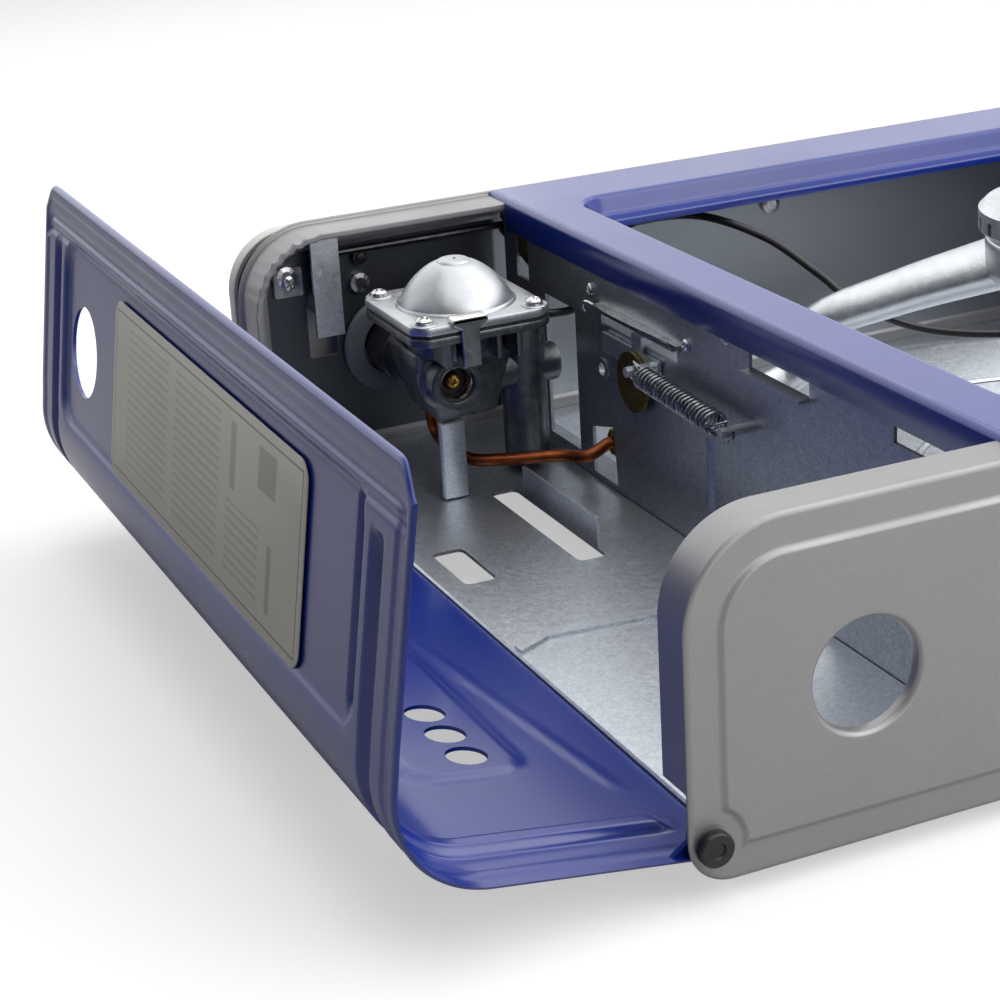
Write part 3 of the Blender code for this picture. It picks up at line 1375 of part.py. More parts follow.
make_back_panel()
make_front_panel()
make_fascia()
make_top_plate()
make_floor_pan()
make_bay_floor()
make_partition()
make_feet()
make_lid()
make_hinge_pins()
make_burner()
make_heat_shield()
make_burner_bracket()
make_jet()
make_regulator()
make_regulator_trim()
make_pipe()
make_knob()
make_igniter()
make_ignition_wire()
make_electrode()
make_lever()
make_crank()
make_catch()
make_spring()


def stand_on_origin():
    """Moves the stove so that its box stands centred on the origin, feet on zero."""
    bpy.context.view_layer.update()
    graph = bpy.context.evaluated_depsgraph_get()
    low, high = Vector((math.inf,) * 3), Vector((-math.inf,) * 3)
    for thing in bpy.data.objects:
        if thing.hide_render or thing.type == "EMPTY":
            continue
        seen = thing.evaluated_get(graph)
        mesh = seen.to_mesh()
        for vertex in mesh.vertices:
            spot = thing.matrix_world @ vertex.co
            low = Vector(map(min, low, spot))
            high = Vector(map(max, high, spot))
        seen.to_mesh_clear()
    stove.location = (-(low.x + high.x) / 2, -(low.y + high.y) / 2, -low.z)
    bpy.context.view_layer.update()
    print("box in mm:", [round(v / mm, 2) for v in high - low])
    print("shift in mm:", [round(v / mm, 3) for v in stove.location])


stand_on_origin()
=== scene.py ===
# Portable gas stove, lid standing open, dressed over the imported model.
# Lengths in the settings are millimetres in the stove's own frame: X to the user's right,
# Y to the back, Z up, zero at the casing's middle and at its panels' lower edge.

import math

import bmesh
import bpy
import numpy as np
from mathutils import Matrix, Vector
from mathutils.geometry import delaunay_2d_cdt

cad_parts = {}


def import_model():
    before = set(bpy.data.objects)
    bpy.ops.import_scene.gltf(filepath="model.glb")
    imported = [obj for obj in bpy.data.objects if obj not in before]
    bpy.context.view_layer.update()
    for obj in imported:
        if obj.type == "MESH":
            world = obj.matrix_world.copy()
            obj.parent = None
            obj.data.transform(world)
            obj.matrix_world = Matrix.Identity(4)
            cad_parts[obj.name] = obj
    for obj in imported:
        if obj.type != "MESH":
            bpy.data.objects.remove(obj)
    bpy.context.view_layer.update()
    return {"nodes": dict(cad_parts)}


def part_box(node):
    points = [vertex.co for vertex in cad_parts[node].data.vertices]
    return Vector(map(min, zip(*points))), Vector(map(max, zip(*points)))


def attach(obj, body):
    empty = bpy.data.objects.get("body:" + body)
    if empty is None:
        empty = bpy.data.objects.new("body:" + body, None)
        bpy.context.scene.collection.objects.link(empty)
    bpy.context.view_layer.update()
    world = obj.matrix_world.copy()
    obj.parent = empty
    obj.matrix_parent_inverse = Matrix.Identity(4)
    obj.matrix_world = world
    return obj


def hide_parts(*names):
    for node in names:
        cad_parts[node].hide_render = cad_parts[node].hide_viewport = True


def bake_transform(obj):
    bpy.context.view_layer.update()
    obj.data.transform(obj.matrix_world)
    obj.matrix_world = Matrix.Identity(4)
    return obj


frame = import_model()
nodes = frame["nodes"]

panelLow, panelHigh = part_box("back_panel")
stoveOrigin = np.array([(panelLow[0] + panelHigh[0]) / 2, panelHigh[1] - 0.145, panelLow[2]])
print("frame loaded, casing's middle at", [round(float(v), 4) for v in stoveOrigin])


# Shapes: whole arrays of points, millimetres in, metres in the mesh

# Stove millimetres to metres in the model's frame.
def world(points):
    return np.asarray(points, float) / 1000 + stoveOrigin


# One piece from a list of (points, faces) in stove millimetres, riding on a body.
def makeMesh(name, parts, material, body, sharp=40, uv=None):
    points, faces, start = [], [], 0
    for partPoints, partFaces in parts:
        points.append(world(partPoints))
        faces += [[start + int(k) for k in face] for face in partFaces]
        start += len(partPoints)
    mesh = bpy.data.meshes.new(name)
    mesh.from_pydata(np.concatenate(points).tolist(), [], faces)
    if uv is not None:
        layer = mesh.uv_layers.new(name="flat")
        loopVertex = np.empty(len(mesh.loops), int)
        mesh.loops.foreach_get("vertex_index", loopVertex)
        layer.data.foreach_set("uv", np.asarray(uv)[loopVertex].ravel())
    joined = bmesh.new()  # seams between the parts are welded and all faces turned outward
    joined.from_mesh(mesh)
    bmesh.ops.remove_doubles(joined, verts=joined.verts, dist=2e-6)
    bmesh.ops.recalc_face_normals(joined, faces=joined.faces)
    joined.to_mesh(mesh)
    joined.free()
    mesh.shade_smooth()
    mesh.set_sharp_from_angle(angle=math.radians(sharp))
    mesh.materials.append(material)
    piece = bpy.data.objects.new(name, mesh)
    bpy.context.collection.objects.link(piece)
    if body:
        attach(piece, body)
    return piece


# Quads of a (rows, columns) grid of points, its columns joined round where asked.
def gridFaces(rows, columns, closeColumns=False, flip=False):
    r, c = np.meshgrid(np.arange(rows - 1), np.arange(columns if closeColumns else columns - 1),
                       indexing="ij")
    cNext = (c + 1) % columns
    quads = np.stack([r * columns + c, r * columns + cNext,
                      (r + 1) * columns + cNext, (r + 1) * columns + c], -1).reshape(-1, 4)
    return quads[:, ::-1] if flip else quads


# A loop drawn in X and Z, set at one depth along Y.
def upright(loop, y):
    return np.column_stack([loop[:, 0], np.full(len(loop), y), loop[:, 1]])


# A loop drawn in X and Y, set at one height.
def level(loop, z):
    return np.column_stack([loop, np.full(len(loop), z)])


# Rings of equally many points joined in order, open at both ends.
def skin(rings):
    return np.vstack(rings), gridFaces(len(rings), len(rings[0]), closeColumns=True).tolist()


# The same, closed by flat ends.
def lofted(rings):
    count = len(rings[0])
    points, faces = skin(rings)
    return points, faces + [list(range(count))[::-1], list(range(len(points) - count, len(points)))]


# A profile of (radius, height) turned round an axis: point = centre + radius at angle + height.
def turned(profile, steps, centre, axis="z"):
    profile = np.asarray(profile, float)
    angle = np.linspace(0, 2 * np.pi, steps, endpoint=False)
    radius, height = profile[:, :1], profile[:, 1:]
    a, b = radius * np.cos(angle), radius * np.sin(angle)
    h = np.broadcast_to(height, a.shape)
    local = {"z": (a, b, h), "y": (a, h, b), "x": (h, a, b)}[axis]
    points = np.stack(local, -1).reshape(-1, 3) + np.asarray(centre, float)
    return points, gridFaces(len(profile), steps, closeColumns=True, flip=axis == "y").tolist()


# Points of an arc in a profile: centre + radius times (cos, sin), degrees from start to end.
def arc(centre, radius, start, end, steps):
    angle = np.radians(np.linspace(start, end, steps))
    return np.stack([centre[0] + radius * np.cos(angle), centre[1] + radius * np.sin(angle)], -1)


# Catmull-Rom curve: each span is the cubic through its ends with slopes from its neighbours.
def smoothPath(route, perSpan):
    route = np.asarray(route, float)
    p = np.vstack([2 * route[0] - route[1], route, 2 * route[-1] - route[-2]])
    t = np.linspace(0, 1, perSpan, endpoint=False)[None, :, None]
    a, b, c, d = (p[k:len(p) - 3 + k, None, :] for k in range(4))
    curve = 0.5 * (2 * b + (c - a) * t + (2 * a - 5 * b + 4 * c - d) * t ** 2
                   + (3 * b - a - 3 * c + d) * t ** 3)
    return np.vstack([curve.reshape(-1, 3), route[-1:]])


# A ring of given radius carried along a path; rings stay square to it and don't twist.
def tube(path, radius, sides):
    path = np.asarray(path, float)
    ahead = np.gradient(path, axis=0)
    ahead /= np.linalg.norm(ahead, axis=1)[:, None]
    side = np.empty_like(path)
    first = np.cross(ahead[0], [0.13, 0.21, 1.0])
    side[0] = first / np.linalg.norm(first)
    for k in range(1, len(path)):  # carry the frame along, taking out what leans ahead
        carried = side[k - 1] - ahead[k] * np.dot(side[k - 1], ahead[k])
        side[k] = carried / np.linalg.norm(carried)
    up = np.cross(ahead, side)
    angle = np.linspace(0, 2 * np.pi, sides, endpoint=False)
    return lofted(list(path[:, None] + radius * (np.cos(angle)[None, :, None] * side[:, None]
                                                 + np.sin(angle)[None, :, None] * up[:, None])))


# Outline of a rectangle with arcs at its corners, anticlockwise from the upper right.
def roundedLoop(left, right, low, high, upper, lower, cornerSteps=16, sideSteps=1):
    corners = ((right - upper, high - upper, upper, 0), (left + upper, high - upper, upper, 90),
               (left + lower, low + lower, lower, 180), (right - lower, low + lower, lower, 270))
    arcs = [arc((a, b), r, start, start + 90, cornerSteps + 1) for a, b, r, start in corners]
    if sideSteps == 1:
        return np.vstack(arcs)
    rows = []
    for k, part in enumerate(arcs):
        after = arcs[(k + 1) % 4][0]
        share = np.linspace(0, 1, sideSteps + 1)[1:-1, None]
        rows += [part, part[-1] + (after - part[-1]) * share]
    return np.vstack(rows)


# A box whose edges are cut back by a small bevel, as a loft of six rounded outlines.
def softBox(low, high, bevel=0.3):
    low, high = np.asarray(low, float), np.asarray(high, float)
    rings = []
    for inset, z in ((bevel, low[2]), (0, low[2] + bevel), (0, high[2] - bevel), (bevel, high[2])):
        flat = roundedLoop(low[0] + inset, high[0] - inset, low[1] + inset, high[1] - inset,
                           bevel, bevel, 2)
        rings.append(level(flat, z))
    return lofted(rings)


# Materials

# An sRGB hex colour as linear red, green, blue and 1.
def linear(hexText):
    s = np.array([int(hexText[k:k + 2], 16) / 255 for k in (1, 3, 5)])
    return (*np.where(s <= 0.04045, s / 12.92, ((s + 0.055) / 1.055) ** 2.4).tolist(), 1.0)


# Adds a node; settings are its attributes or input values, links its input sources.
def addNode(tree, kind, settings=None, links=None):
    node = tree.nodes.new(kind)
    for key, value in (settings or {}).items():
        if isinstance(key, str) and hasattr(node, key):
            setattr(node, key, value)
        else:
            node.inputs[key].default_value = value
    for key, source in (links or {}).items():
        tree.links.new(source, node.inputs[key])
    return node


# A finish whose colour wanders between two hex values and its gloss between two roughnesses, each
# with its own noise, over a grain of fine bumps. A pattern is (repeats a metre, detail, noise's
# roughness), then gloss adds its two limits and grain its strength and its depth in metres.
def makeFinish(name, light, dark, metallic, rough, tone=None, gloss=None, grain=None, extra=None):
    material = bpy.data.materials.new(name)
    material.use_nodes = True
    tree = material.node_tree
    shader = tree.nodes["Principled BSDF"]
    plain = {"Base Color": linear(light), "Metallic": metallic, "Roughness": rough}
    for key, value in (plain | (extra or {})).items():
        shader.inputs[key].default_value = value
    place = addNode(tree, "ShaderNodeTexCoord").outputs["Object"]
    wander = {"From Min": 0.3, "From Max": 0.7}  # where such noise spends most of its range
    for use, pattern in (("tone", tone), ("gloss", gloss), ("grain", grain)):
        if pattern is None:
            continue
        field = addNode(tree, "ShaderNodeTexNoise",
                        {"Scale": pattern[0], "Detail": pattern[1], "Roughness": pattern[2]},
                        {"Vector": place}).outputs["Fac"]
        if use == "tone":
            share = addNode(tree, "ShaderNodeMapRange", wander, {"Value": field}).outputs[0]
            source = addNode(tree, "ShaderNodeMix", {"data_type": "RGBA", 6: linear(dark),
                                                     7: linear(light)}, {0: share}).outputs[2]
        elif use == "gloss":
            limits = {"To Min": pattern[3], "To Max": pattern[4]}
            source = addNode(tree, "ShaderNodeMapRange", wander | limits, {"Value": field}).outputs[0]
        else:
            source = addNode(tree, "ShaderNodeBump", {"Strength": pattern[3], "Distance": pattern[4]},
                             {"Height": field}).outputs[0]
        socket = {"tone": "Base Color", "gloss": "Roughness", "grain": "Normal"}[use]
        tree.links.new(source, shader.inputs[socket])
    return material, tree, shader


# Hot-dip galvanised steel: zinc crystals about 0.8 mm across, each with its own tone and gloss.
def galvanisedSheet(name, light, dark):
    material, tree, shader = makeFinish(name, light, dark, 0.9, 0.38,
                                        grain=(1500, 2, 0.5, 0.04, 0.0001))
    place = addNode(tree, "ShaderNodeTexCoord").outputs["Object"]
    blur = addNode(tree, "ShaderNodeTexNoise", {"Scale": 500.0, "Detail": 2.0}, {"Vector": place})
    warp = addNode(tree, "ShaderNodeMix", {"data_type": "VECTOR", "Factor": 0.004},
                   {4: place, 5: blur.outputs["Color"]})
    cells = addNode(tree, "ShaderNodeTexVoronoi", {"Scale": 1300.0}, {"Vector": warp.outputs[1]})
    split = addNode(tree, "ShaderNodeSeparateColor", None, {0: cells.outputs["Color"]})
    tone = addNode(tree, "ShaderNodeMix", {"data_type": "RGBA", 6: linear(dark), 7: linear(light)},
                   {0: split.outputs[0]})
    rough = addNode(tree, "ShaderNodeMapRange", {"To Min": 0.34, "To Max": 0.44},
                    {"Value": split.outputs[1]})
    tree.links.new(tone.outputs[2], shader.inputs["Base Color"])
    tree.links.new(rough.outputs[0], shader.inputs["Roughness"])
    return material


# Bare casting: skin of small dimples and flow marks, dull in the hollows.
def castMetal(name, light, dark, grain, depth, low, high):
    return makeFinish(name, light, dark, 0.92, 0.4, (grain / 4, 6, 0.65),
                      (grain / 2, 4, 0.5, low, high), (grain, 4, 0.7, 0.25, depth))[0]


# Plated or drawn metal: bright, with hair-fine marks and small changes of gloss.
def platedMetal(name, light, dark, low=0.16, high=0.3):
    return makeFinish(name, light, dark, 1.0, 0.25, (240, 4, 0.5), (350, 4, 0.5, low, high),
                      (900, 3, 0.5, 0.06, 0.0002))[0]


# Moulded plastic or rubber: nearly one colour, with a fine spark-eroded grain from the tool.
def mouldedPlastic(name, light, dark, rough, grain, depth=0.0002):
    return makeFinish(name, light, dark, 0.0, rough, (90, 3, 0.5),
                      (120, 3, 0.5, rough - 0.07, rough + 0.07), (grain, 3, 0.5, 0.15, depth))[0]


# Baked enamel on steel: deep blue, faint orange peel of about 1.5 mm, part clear coat over it.
blue = makeFinish("blueBakedEnamel", "#0f2b86", "#0d277c", 0.0, 0.25, (9, 2, 0.5),
                  (25, 2, 0.5, 0.27, 0.32), (650, 2, 0.5, 0.04, 0.0002),
                  {"Coat Weight": 0.35, "Coat Roughness": 0.16})[0]
# Metallic silver paint: fine flakes give a soft sheen, so half metal and quite rough.
silver = makeFinish("silverMetallicPaint", "#949495", "#8e8e8f", 0.45, 0.38, (2600, 1, 0.5),
                    (45, 4, 0.5, 0.34, 0.46), (900, 2, 0.5, 0.03, 0.0002))[0]
# Light warm-grey enamel on the fascia, satin, with the same faint orange peel.
greyEnamel = makeFinish("lightGreyEnamel", "#d8d6d1", "#d3d1cc", 0.0, 0.4, (30, 3, 0.5),
                        grain=(700, 2, 0.5, 0.05, 0.0003))[0]
galvanised = galvanisedSheet("galvanisedSteel", "#ccd1d7", "#b4bac1")
# A darker copy of the same galvanised sheet for the partition: painted shade for the wall standing in the
# bay.
galvanisedShaded = galvanisedSheet("galvanisedSteelShade", "#a3a8af", "#8b9098")
# Die-cast zinc with a dull cast skin, its colour darkened as painted shade for the body under the cover.
zincCastShaded = castMetal("dieCastZincShaded", "#717478", "#4f5256", 900, 0.0004, 0.3, 0.46)
aluminiumCast = castMetal("sandCastAluminium", "#cfd1d4", "#bcbfc3", 1100, 0.0004, 0.3, 0.42)
steel = platedMetal("nickelPlatedSteel", "#d4d4d2", "#a8a8a8")
brass = platedMetal("turnedBrass", "#c9a655", "#a5823a")
copper = platedMetal("drawnCopper", "#854829", "#5f321e", 0.28, 0.42)
yellowZinc = platedMetal("yellowZincPlate", "#7f6e38", "#5f5228", 0.3, 0.45)
darkSteel = platedMetal("blackenedSteel", "#4b4c4f", "#38393b", 0.3, 0.42)
blackPlastic = mouldedPlastic("blackAbs", "#1a1a1c", "#141415", 0.42, 2200)
greyPlastic = mouldedPlastic("greyPolyamide", "#5d5f64", "#505257", 0.5, 2200)
rubber = mouldedPlastic("blackRubber", "#191919", "#131313", 0.62, 1500)
leadSleeve = mouldedPlastic("siliconeSleeve", "#17171a", "#101012", 0.34, 3000, 0.0001)
ceramic = mouldedPlastic("glazedCeramic", "#e6e3da", "#d8d4c8", 0.3, 1200, 0.0001)
labelFilm = mouldedPlastic("labelFilm", "#c9c8be", "#bfbeb4", 0.45, 1600, 0.00005)

nodeFinish = {
    "back_panel": silver, "front_panel": silver, "front_fascia": greyEnamel, "top_plate": blue,
    "lid": blue, "lid_label": labelFilm, "regulator_body": zincCastShaded, "regulator_cover": zincCastShaded,
    "regulator_gasket": rubber, "inlet_seal": rubber, "inlet_nozzle": brass, "jet_holder": brass,
    "gas_pipe": copper, "burner_body": aluminiumCast, "burner_cap": aluminiumCast,
    "igniter_unit": blackPlastic, "knob": blackPlastic, "lock_lever": blackPlastic,
    "knob_bezel": greyPlastic, "hinge_pin_rear": blackPlastic, "hinge_pin_front": blackPlastic,
    "ignition_wire": leadSleeve, "ignition_electrode": ceramic, "bell_crank": yellowZinc,
    "catch_disc": yellowZinc, "knob_spindle": steel, "catch_spring": steel, "pull_rod": steel,
    "lever_bar": darkSteel, "crank_stud": steel, "cartridge_guide": steel,
    "partition": galvanisedShaded, "heat_shield": galvanised,
}
for name, node in nodes.items():
    finish = nodeFinish.get(name)
    if finish is None:
        finish = rubber if name.startswith("foot") else steel if "screw" in name else galvanised
    for materialSlot in node.material_slots:
        materialSlot.material = finish
print("materials set on", len(nodes), "nodes")


# Camera, lamps and floor

cameraView = {"place": (371.5, 528.3, 259.0), "azimuth": 203.0, "pitch": -21.15, "roll": -3.49,
              "focal": 2.3411}


# Camera as solved from the photograph: forward from azimuth and pitch, then rolled.
def setCamera():
    azimuth, pitch, roll = (math.radians(cameraView[k]) for k in ("azimuth", "pitch", "roll"))
    ahead = Vector((math.sin(azimuth) * math.cos(pitch), math.cos(azimuth) * math.cos(pitch),
                    math.sin(pitch)))
    right = ahead.cross(Vector((0, 0, 1))).normalized()
    up = right.cross(ahead)
    rolledRight = right * math.cos(roll) + up * math.sin(roll)
    rolledUp = up * math.cos(roll) - right * math.sin(roll)
    data = bpy.data.cameras.new("camera")
    data.sensor_width = 36.0
    data.lens = 36.0 * cameraView["focal"]
    data.clip_start = 0.02
    camera = bpy.data.objects.new("camera", data)
    bpy.context.collection.objects.link(camera)
    matrix = Matrix((rolledRight, rolledUp, -ahead)).transposed().to_4x4()
    matrix.translation = Vector(world(cameraView["place"]))
    camera.matrix_world = matrix
    bpy.context.scene.camera = camera


lampSettings = {  # place, watts, size: soft boxes over and beside the stove
    "topBox": ((-250, 150, 900), 17.5, 1.8),
    "backBox": ((-350, 1100, 500), 8.5, 1.2),
    "frontFill": ((100, -900, 600), 1.2, 0.9),
}


# Area lamps, each aimed at the middle of the open bay and well.
def setLamps():
    for name, (place, watts, size) in lampSettings.items():
        data = bpy.data.lights.new(name, "AREA")
        data.energy = watts
        data.size = size
        lamp = bpy.data.objects.new(name, data)
        bpy.context.collection.objects.link(lamp)
        start = Vector(world(place))
        lamp.location = start
        aim = Vector(world((60, 0, 40))) - start
        lamp.rotation_euler = aim.to_track_quat("-Z", "Y").to_euler()


# 1 for rays that show a thing, straight or in metal or glass, and 0 for rays that only light it.
def seenRay(tree):
    path = addNode(tree, "ShaderNodeLightPath")
    seen = path.outputs["Is Camera Ray"]
    for ray in ("Is Glossy Ray", "Is Transmission Ray"):
        seen = addNode(tree, "ShaderNodeMath", {"operation": "MAXIMUM"},
                       {0: seen, 1: path.outputs[ray]}).outputs[0]
    return seen


# World: 0.3 as fill light, 1 to the camera and 1.3 in reflections.
def setWorld():
    surround = bpy.data.worlds.new("studio")
    bpy.context.scene.world = surround
    surround.use_nodes = True
    tree = surround.node_tree
    shine = tree.nodes["Background"]
    shine.inputs["Color"].default_value = linear("#ffffff")
    path = addNode(tree, "ShaderNodeLightPath")
    strength = addNode(tree, "ShaderNodeMapRange", {"To Min": 0.3, "To Max": 1.0},
                       {"Value": path.outputs["Is Camera Ray"]})
    mirrored = addNode(tree, "ShaderNodeMath", {"operation": "MULTIPLY_ADD", 1: 1.0},
                       {0: path.outputs["Is Glossy Ray"], 2: strength.outputs[0]})
    # the room is dark on the camera's side, which the camera never faces, and dim straight above
    total = mirrored.outputs[0]
    view = addNode(tree, "ShaderNodeTexCoord").outputs["Generated"]
    for way, start, end, least in (((0.6, 0.8, -0.2), -0.1, 0.5, 0.2), ((0, 0, 1), 0.5, 0.95, 0.5)):
        along = addNode(tree, "ShaderNodeVectorMath", {"operation": "DOT_PRODUCT", 1: way},
                        {0: view}).outputs["Value"]
        side = addNode(tree, "ShaderNodeMapRange", {"From Min": start, "From Max": end,
                                                    "To Min": 1.0, "To Max": least}, {"Value": along})
        total = addNode(tree, "ShaderNodeMath", {"operation": "MULTIPLY"},
                        {0: total, 1: side.outputs[0]}).outputs[0]
    tree.links.new(total, shine.inputs["Strength"])


# White floor: it shows as white where lit and keeps the stove's shadow.
def makeFloor():
    seen, lighting = "#c8c6c5", "#a5a1a0"
    material, tree, shader = makeFinish("studioFloor", seen, lighting, 0.0, 0.7)
    shade = addNode(tree, "ShaderNodeMix", {"data_type": "RGBA", 6: linear(lighting),
                                            7: linear(seen)}, {0: seenRay(tree)})
    tree.links.new(shade.outputs[2], shader.inputs["Base Color"])
    shader.inputs["Emission Color"].default_value = linear("#ffffff")
    camera = addNode(tree, "ShaderNodeLightPath").outputs["Is Camera Ray"]
    glow = addNode(tree, "ShaderNodeMath", {"operation": "MULTIPLY", 1: 0.5}, {0: camera})
    tree.links.new(glow.outputs[0], shader.inputs["Emission Strength"])
    side, ground = 4000.0, -5.02  # just under the feet
    corners = [(a * side, b * side, ground) for a, b in ((-1, -1), (1, -1), (1, 1), (-1, 1))]
    mesh = bpy.data.meshes.new("studioFloor")
    mesh.from_pydata(world(corners).tolist(), [], [(0, 1, 2, 3)])
    mesh.materials.append(material)
    floor = bpy.data.objects.new("studioFloor", mesh)
    bpy.context.collection.objects.link(floor)


setCamera()
setLamps()
setWorld()
makeFloor()
bpy.context.scene.view_settings.view_transform = "Standard"
print("camera, lamps and floor set")


# Shapes for bent and cut sheet

# Smooth rise from 0 to 1 as x goes from start to end: 3t^2 - 2t^3.
def rise(x, start, end):
    t = np.clip((np.asarray(x, float) - start) / (end - start), 0, 1)
    return t * t * (3 - 2 * t)


# 1 between low and high, falling off over the width soft at both ends.
def band(x, low, high, soft):
    return rise(x, low - soft / 2, low + soft / 2) * (1 - rise(x, high - soft / 2, high + soft / 2))


# Cross-section of a pressed bead: half a cosine wave of the given half-width.
def bead(x, centre, half):
    t = np.clip(np.abs(x - centre) / half, 0, 1)
    return 0.5 * (1 + np.cos(np.pi * t))


# Corners of an open profile rounded by quadratic curves that start `radius` before each corner.
def softened(profile, radius, steps=4):
    profile = np.asarray(profile, float)
    rows = [profile[:1]]
    t = np.linspace(0, 1, steps + 1)[:, None]
    for before, corner, after in zip(profile[:-2], profile[1:-1], profile[2:]):
        toward, onward = before - corner, after - corner
        reach = [min(radius, np.linalg.norm(v) * 0.45) / np.linalg.norm(v) for v in (toward, onward)]
        start, end = corner + toward * reach[0], corner + onward * reach[1]
        rows.append((1 - t) ** 2 * start + 2 * t * (1 - t) * corner + t ** 2 * end)
    rows.append(profile[-1:])
    return np.vstack(rows)


# The same for a closed loop, whose first and last corners are rounded too.
def softLoop(corners, radius, steps):
    corners = np.asarray(corners, float)
    return softened(np.vstack([corners[-1:], corners, corners[:1]]), radius, steps)[1:-1]


# Closed loop moved inward along its corners' bisectors (for a loop that runs anticlockwise).
def insetLoop(loop, inset):
    loop = np.asarray(loop, float)
    edge = np.roll(loop, -1, 0) - loop
    edge /= np.linalg.norm(edge, axis=1)[:, None]
    inward = np.stack([-edge[:, 1], edge[:, 0]], -1)
    before = np.roll(inward, 1, 0)
    bisector = inward + before
    bisector /= (1 + (inward * before).sum(1))[:, None]
    return loop + bisector * inset


# Round hole's loop, anticlockwise.
def circle(x, y, radius, steps=48):
    return arc((x, y), radius, 0, 360 - 360 / steps, steps)


# True where points lie inside a loop, by counting crossings of a ray.
def inside(points, loop):
    x, y = points[:, :1], points[:, 1:]
    a, b = loop[None, :, :], np.roll(loop, -1, 0)[None, :, :]
    crosses = (a[..., 1] > y) != (b[..., 1] > y)
    run = np.where(b[..., 1] == a[..., 1], 1, b[..., 1] - a[..., 1])
    return (crosses & (x < (b[..., 0] - a[..., 0]) * (y - a[..., 1]) / run + a[..., 0])).sum(1) % 2 == 1


# Triangles of a flat face with holes, over the loops' own points.
def flatFace(loops):
    points = np.vstack(loops)
    edges, start = [], 0
    for loop in loops:
        count = len(loop)
        edges += [(start + k, start + (k + 1) % count) for k in range(count)]
        start += count
    made = delaunay_2d_cdt([Vector(p) for p in points], edges, [], 0, 1e-6)
    spots = np.array([v[:] for v in made[0]])
    triangles = np.array(made[2])
    middle = spots[triangles].mean(1)
    keep = inside(middle, np.asarray(loops[0]))
    for hole in loops[1:]:
        keep &= ~inside(middle, np.asarray(hole))
    return spots, triangles[keep]


# Flat sheet between two heights with slightly rounded rims; axes says where x, y, height go.
def plate(outer, holes, low, high, axes="xyz", bevel=0.2):
    parts = []
    shift = np.array([0, 1, 1, 0]) * bevel
    heights = np.array([low, low + bevel, high - bevel, high])
    faceLoops = []
    for loop, sign in [(outer, 1)] + [(hole, -1) for hole in holes]:
        parts.append(skin([level(insetLoop(loop, sign * (bevel - away)), h)
                           for away, h in zip(shift, heights)]))
        faceLoops.append(insetLoop(loop, sign * bevel))
    spots, triangles = flatFace(faceLoops)
    parts += [(level(spots, h), triangles.tolist()) for h in (low, high)]
    order = ["xyz".index(a) for a in axes]
    placed = []
    for points, faces in parts:
        turnedPoints = np.empty_like(points)
        turnedPoints[:, order] = points
        placed.append((turnedPoints, faces))
    return placed


# Panels: stepped face, rolled rim and a deep flange all round

panelSettings = {
    "left": -170.0, "right": 170.0, "low": 0.0, "high": 82.0, "upper": 24.0, "lower": 11.0,
    "face": 145.0, "spacing": 2.0, "sheet": 1.0,
    "rim": ((9.6, 0.0), (9.0, 0.0), (7.8, 0.8), (1.0, 0.8), (0.0, 1.3), (0.0, 2.0), (1.3, 2.1),
            (1.3, 15.0), (3.5, 15.0), (3.5, 13.2), (2.3, 12.6), (2.3, 1.8), (8.2, 1.8), (9.4, 1.0),
            (9.6, 1.0)),
    "notch": (144.0, 20.0, 2.2), "crimps": 12, "crimpDepth": 1.1,
    "pin": (165.0, 10.2, 7.6), "pinStep": 7.8,
    "collar": ((1.8, 0.0), (0.9, 0.0), (0.0, 0.9), (0.0, 3.4), (0.8, 3.4), (0.8, 1.0)),
    "cartridgeHole": (126.5, 40.5, 13.1), "knobHole": (121, 38, 14),
    "leverSlot": (138.1, 147.9, 37.3, 58.7),
}


# Pushes the step between rim and face away from the hinge pin's head; reach grows with the inset.
def roundThePin(flat, inset):
    x, z, radius = panelSettings["pin"]
    away = flat - (x, z)
    far = np.linalg.norm(away, axis=1)[:, None]
    reach = (radius + inset - panelSettings["pinStep"]) * (inset > 7)
    return np.where(far < reach, (x, z) + away * reach / far, flat)


# The panel's outline with its outward normals: quarter arcs and straights cut every few mm.
def panelOutline():
    s = panelSettings
    loop = roundedLoop(s["left"], s["right"], s["low"], s["high"], s["upper"], s["lower"], 20)
    rows = []
    for a, b in zip(loop, np.roll(loop, -1, 0)):
        pieces = max(1, int(np.linalg.norm(b - a) / s["spacing"]))
        rows.append(a + (b - a) * np.arange(pieces)[:, None] / pieces)
    points = np.vstack(rows)
    ahead = np.roll(points, -1, 0) - np.roll(points, 1, 0)
    ahead /= np.linalg.norm(ahead, axis=1)[:, None]
    return points, np.stack([ahead[:, 1], -ahead[:, 0]], -1)


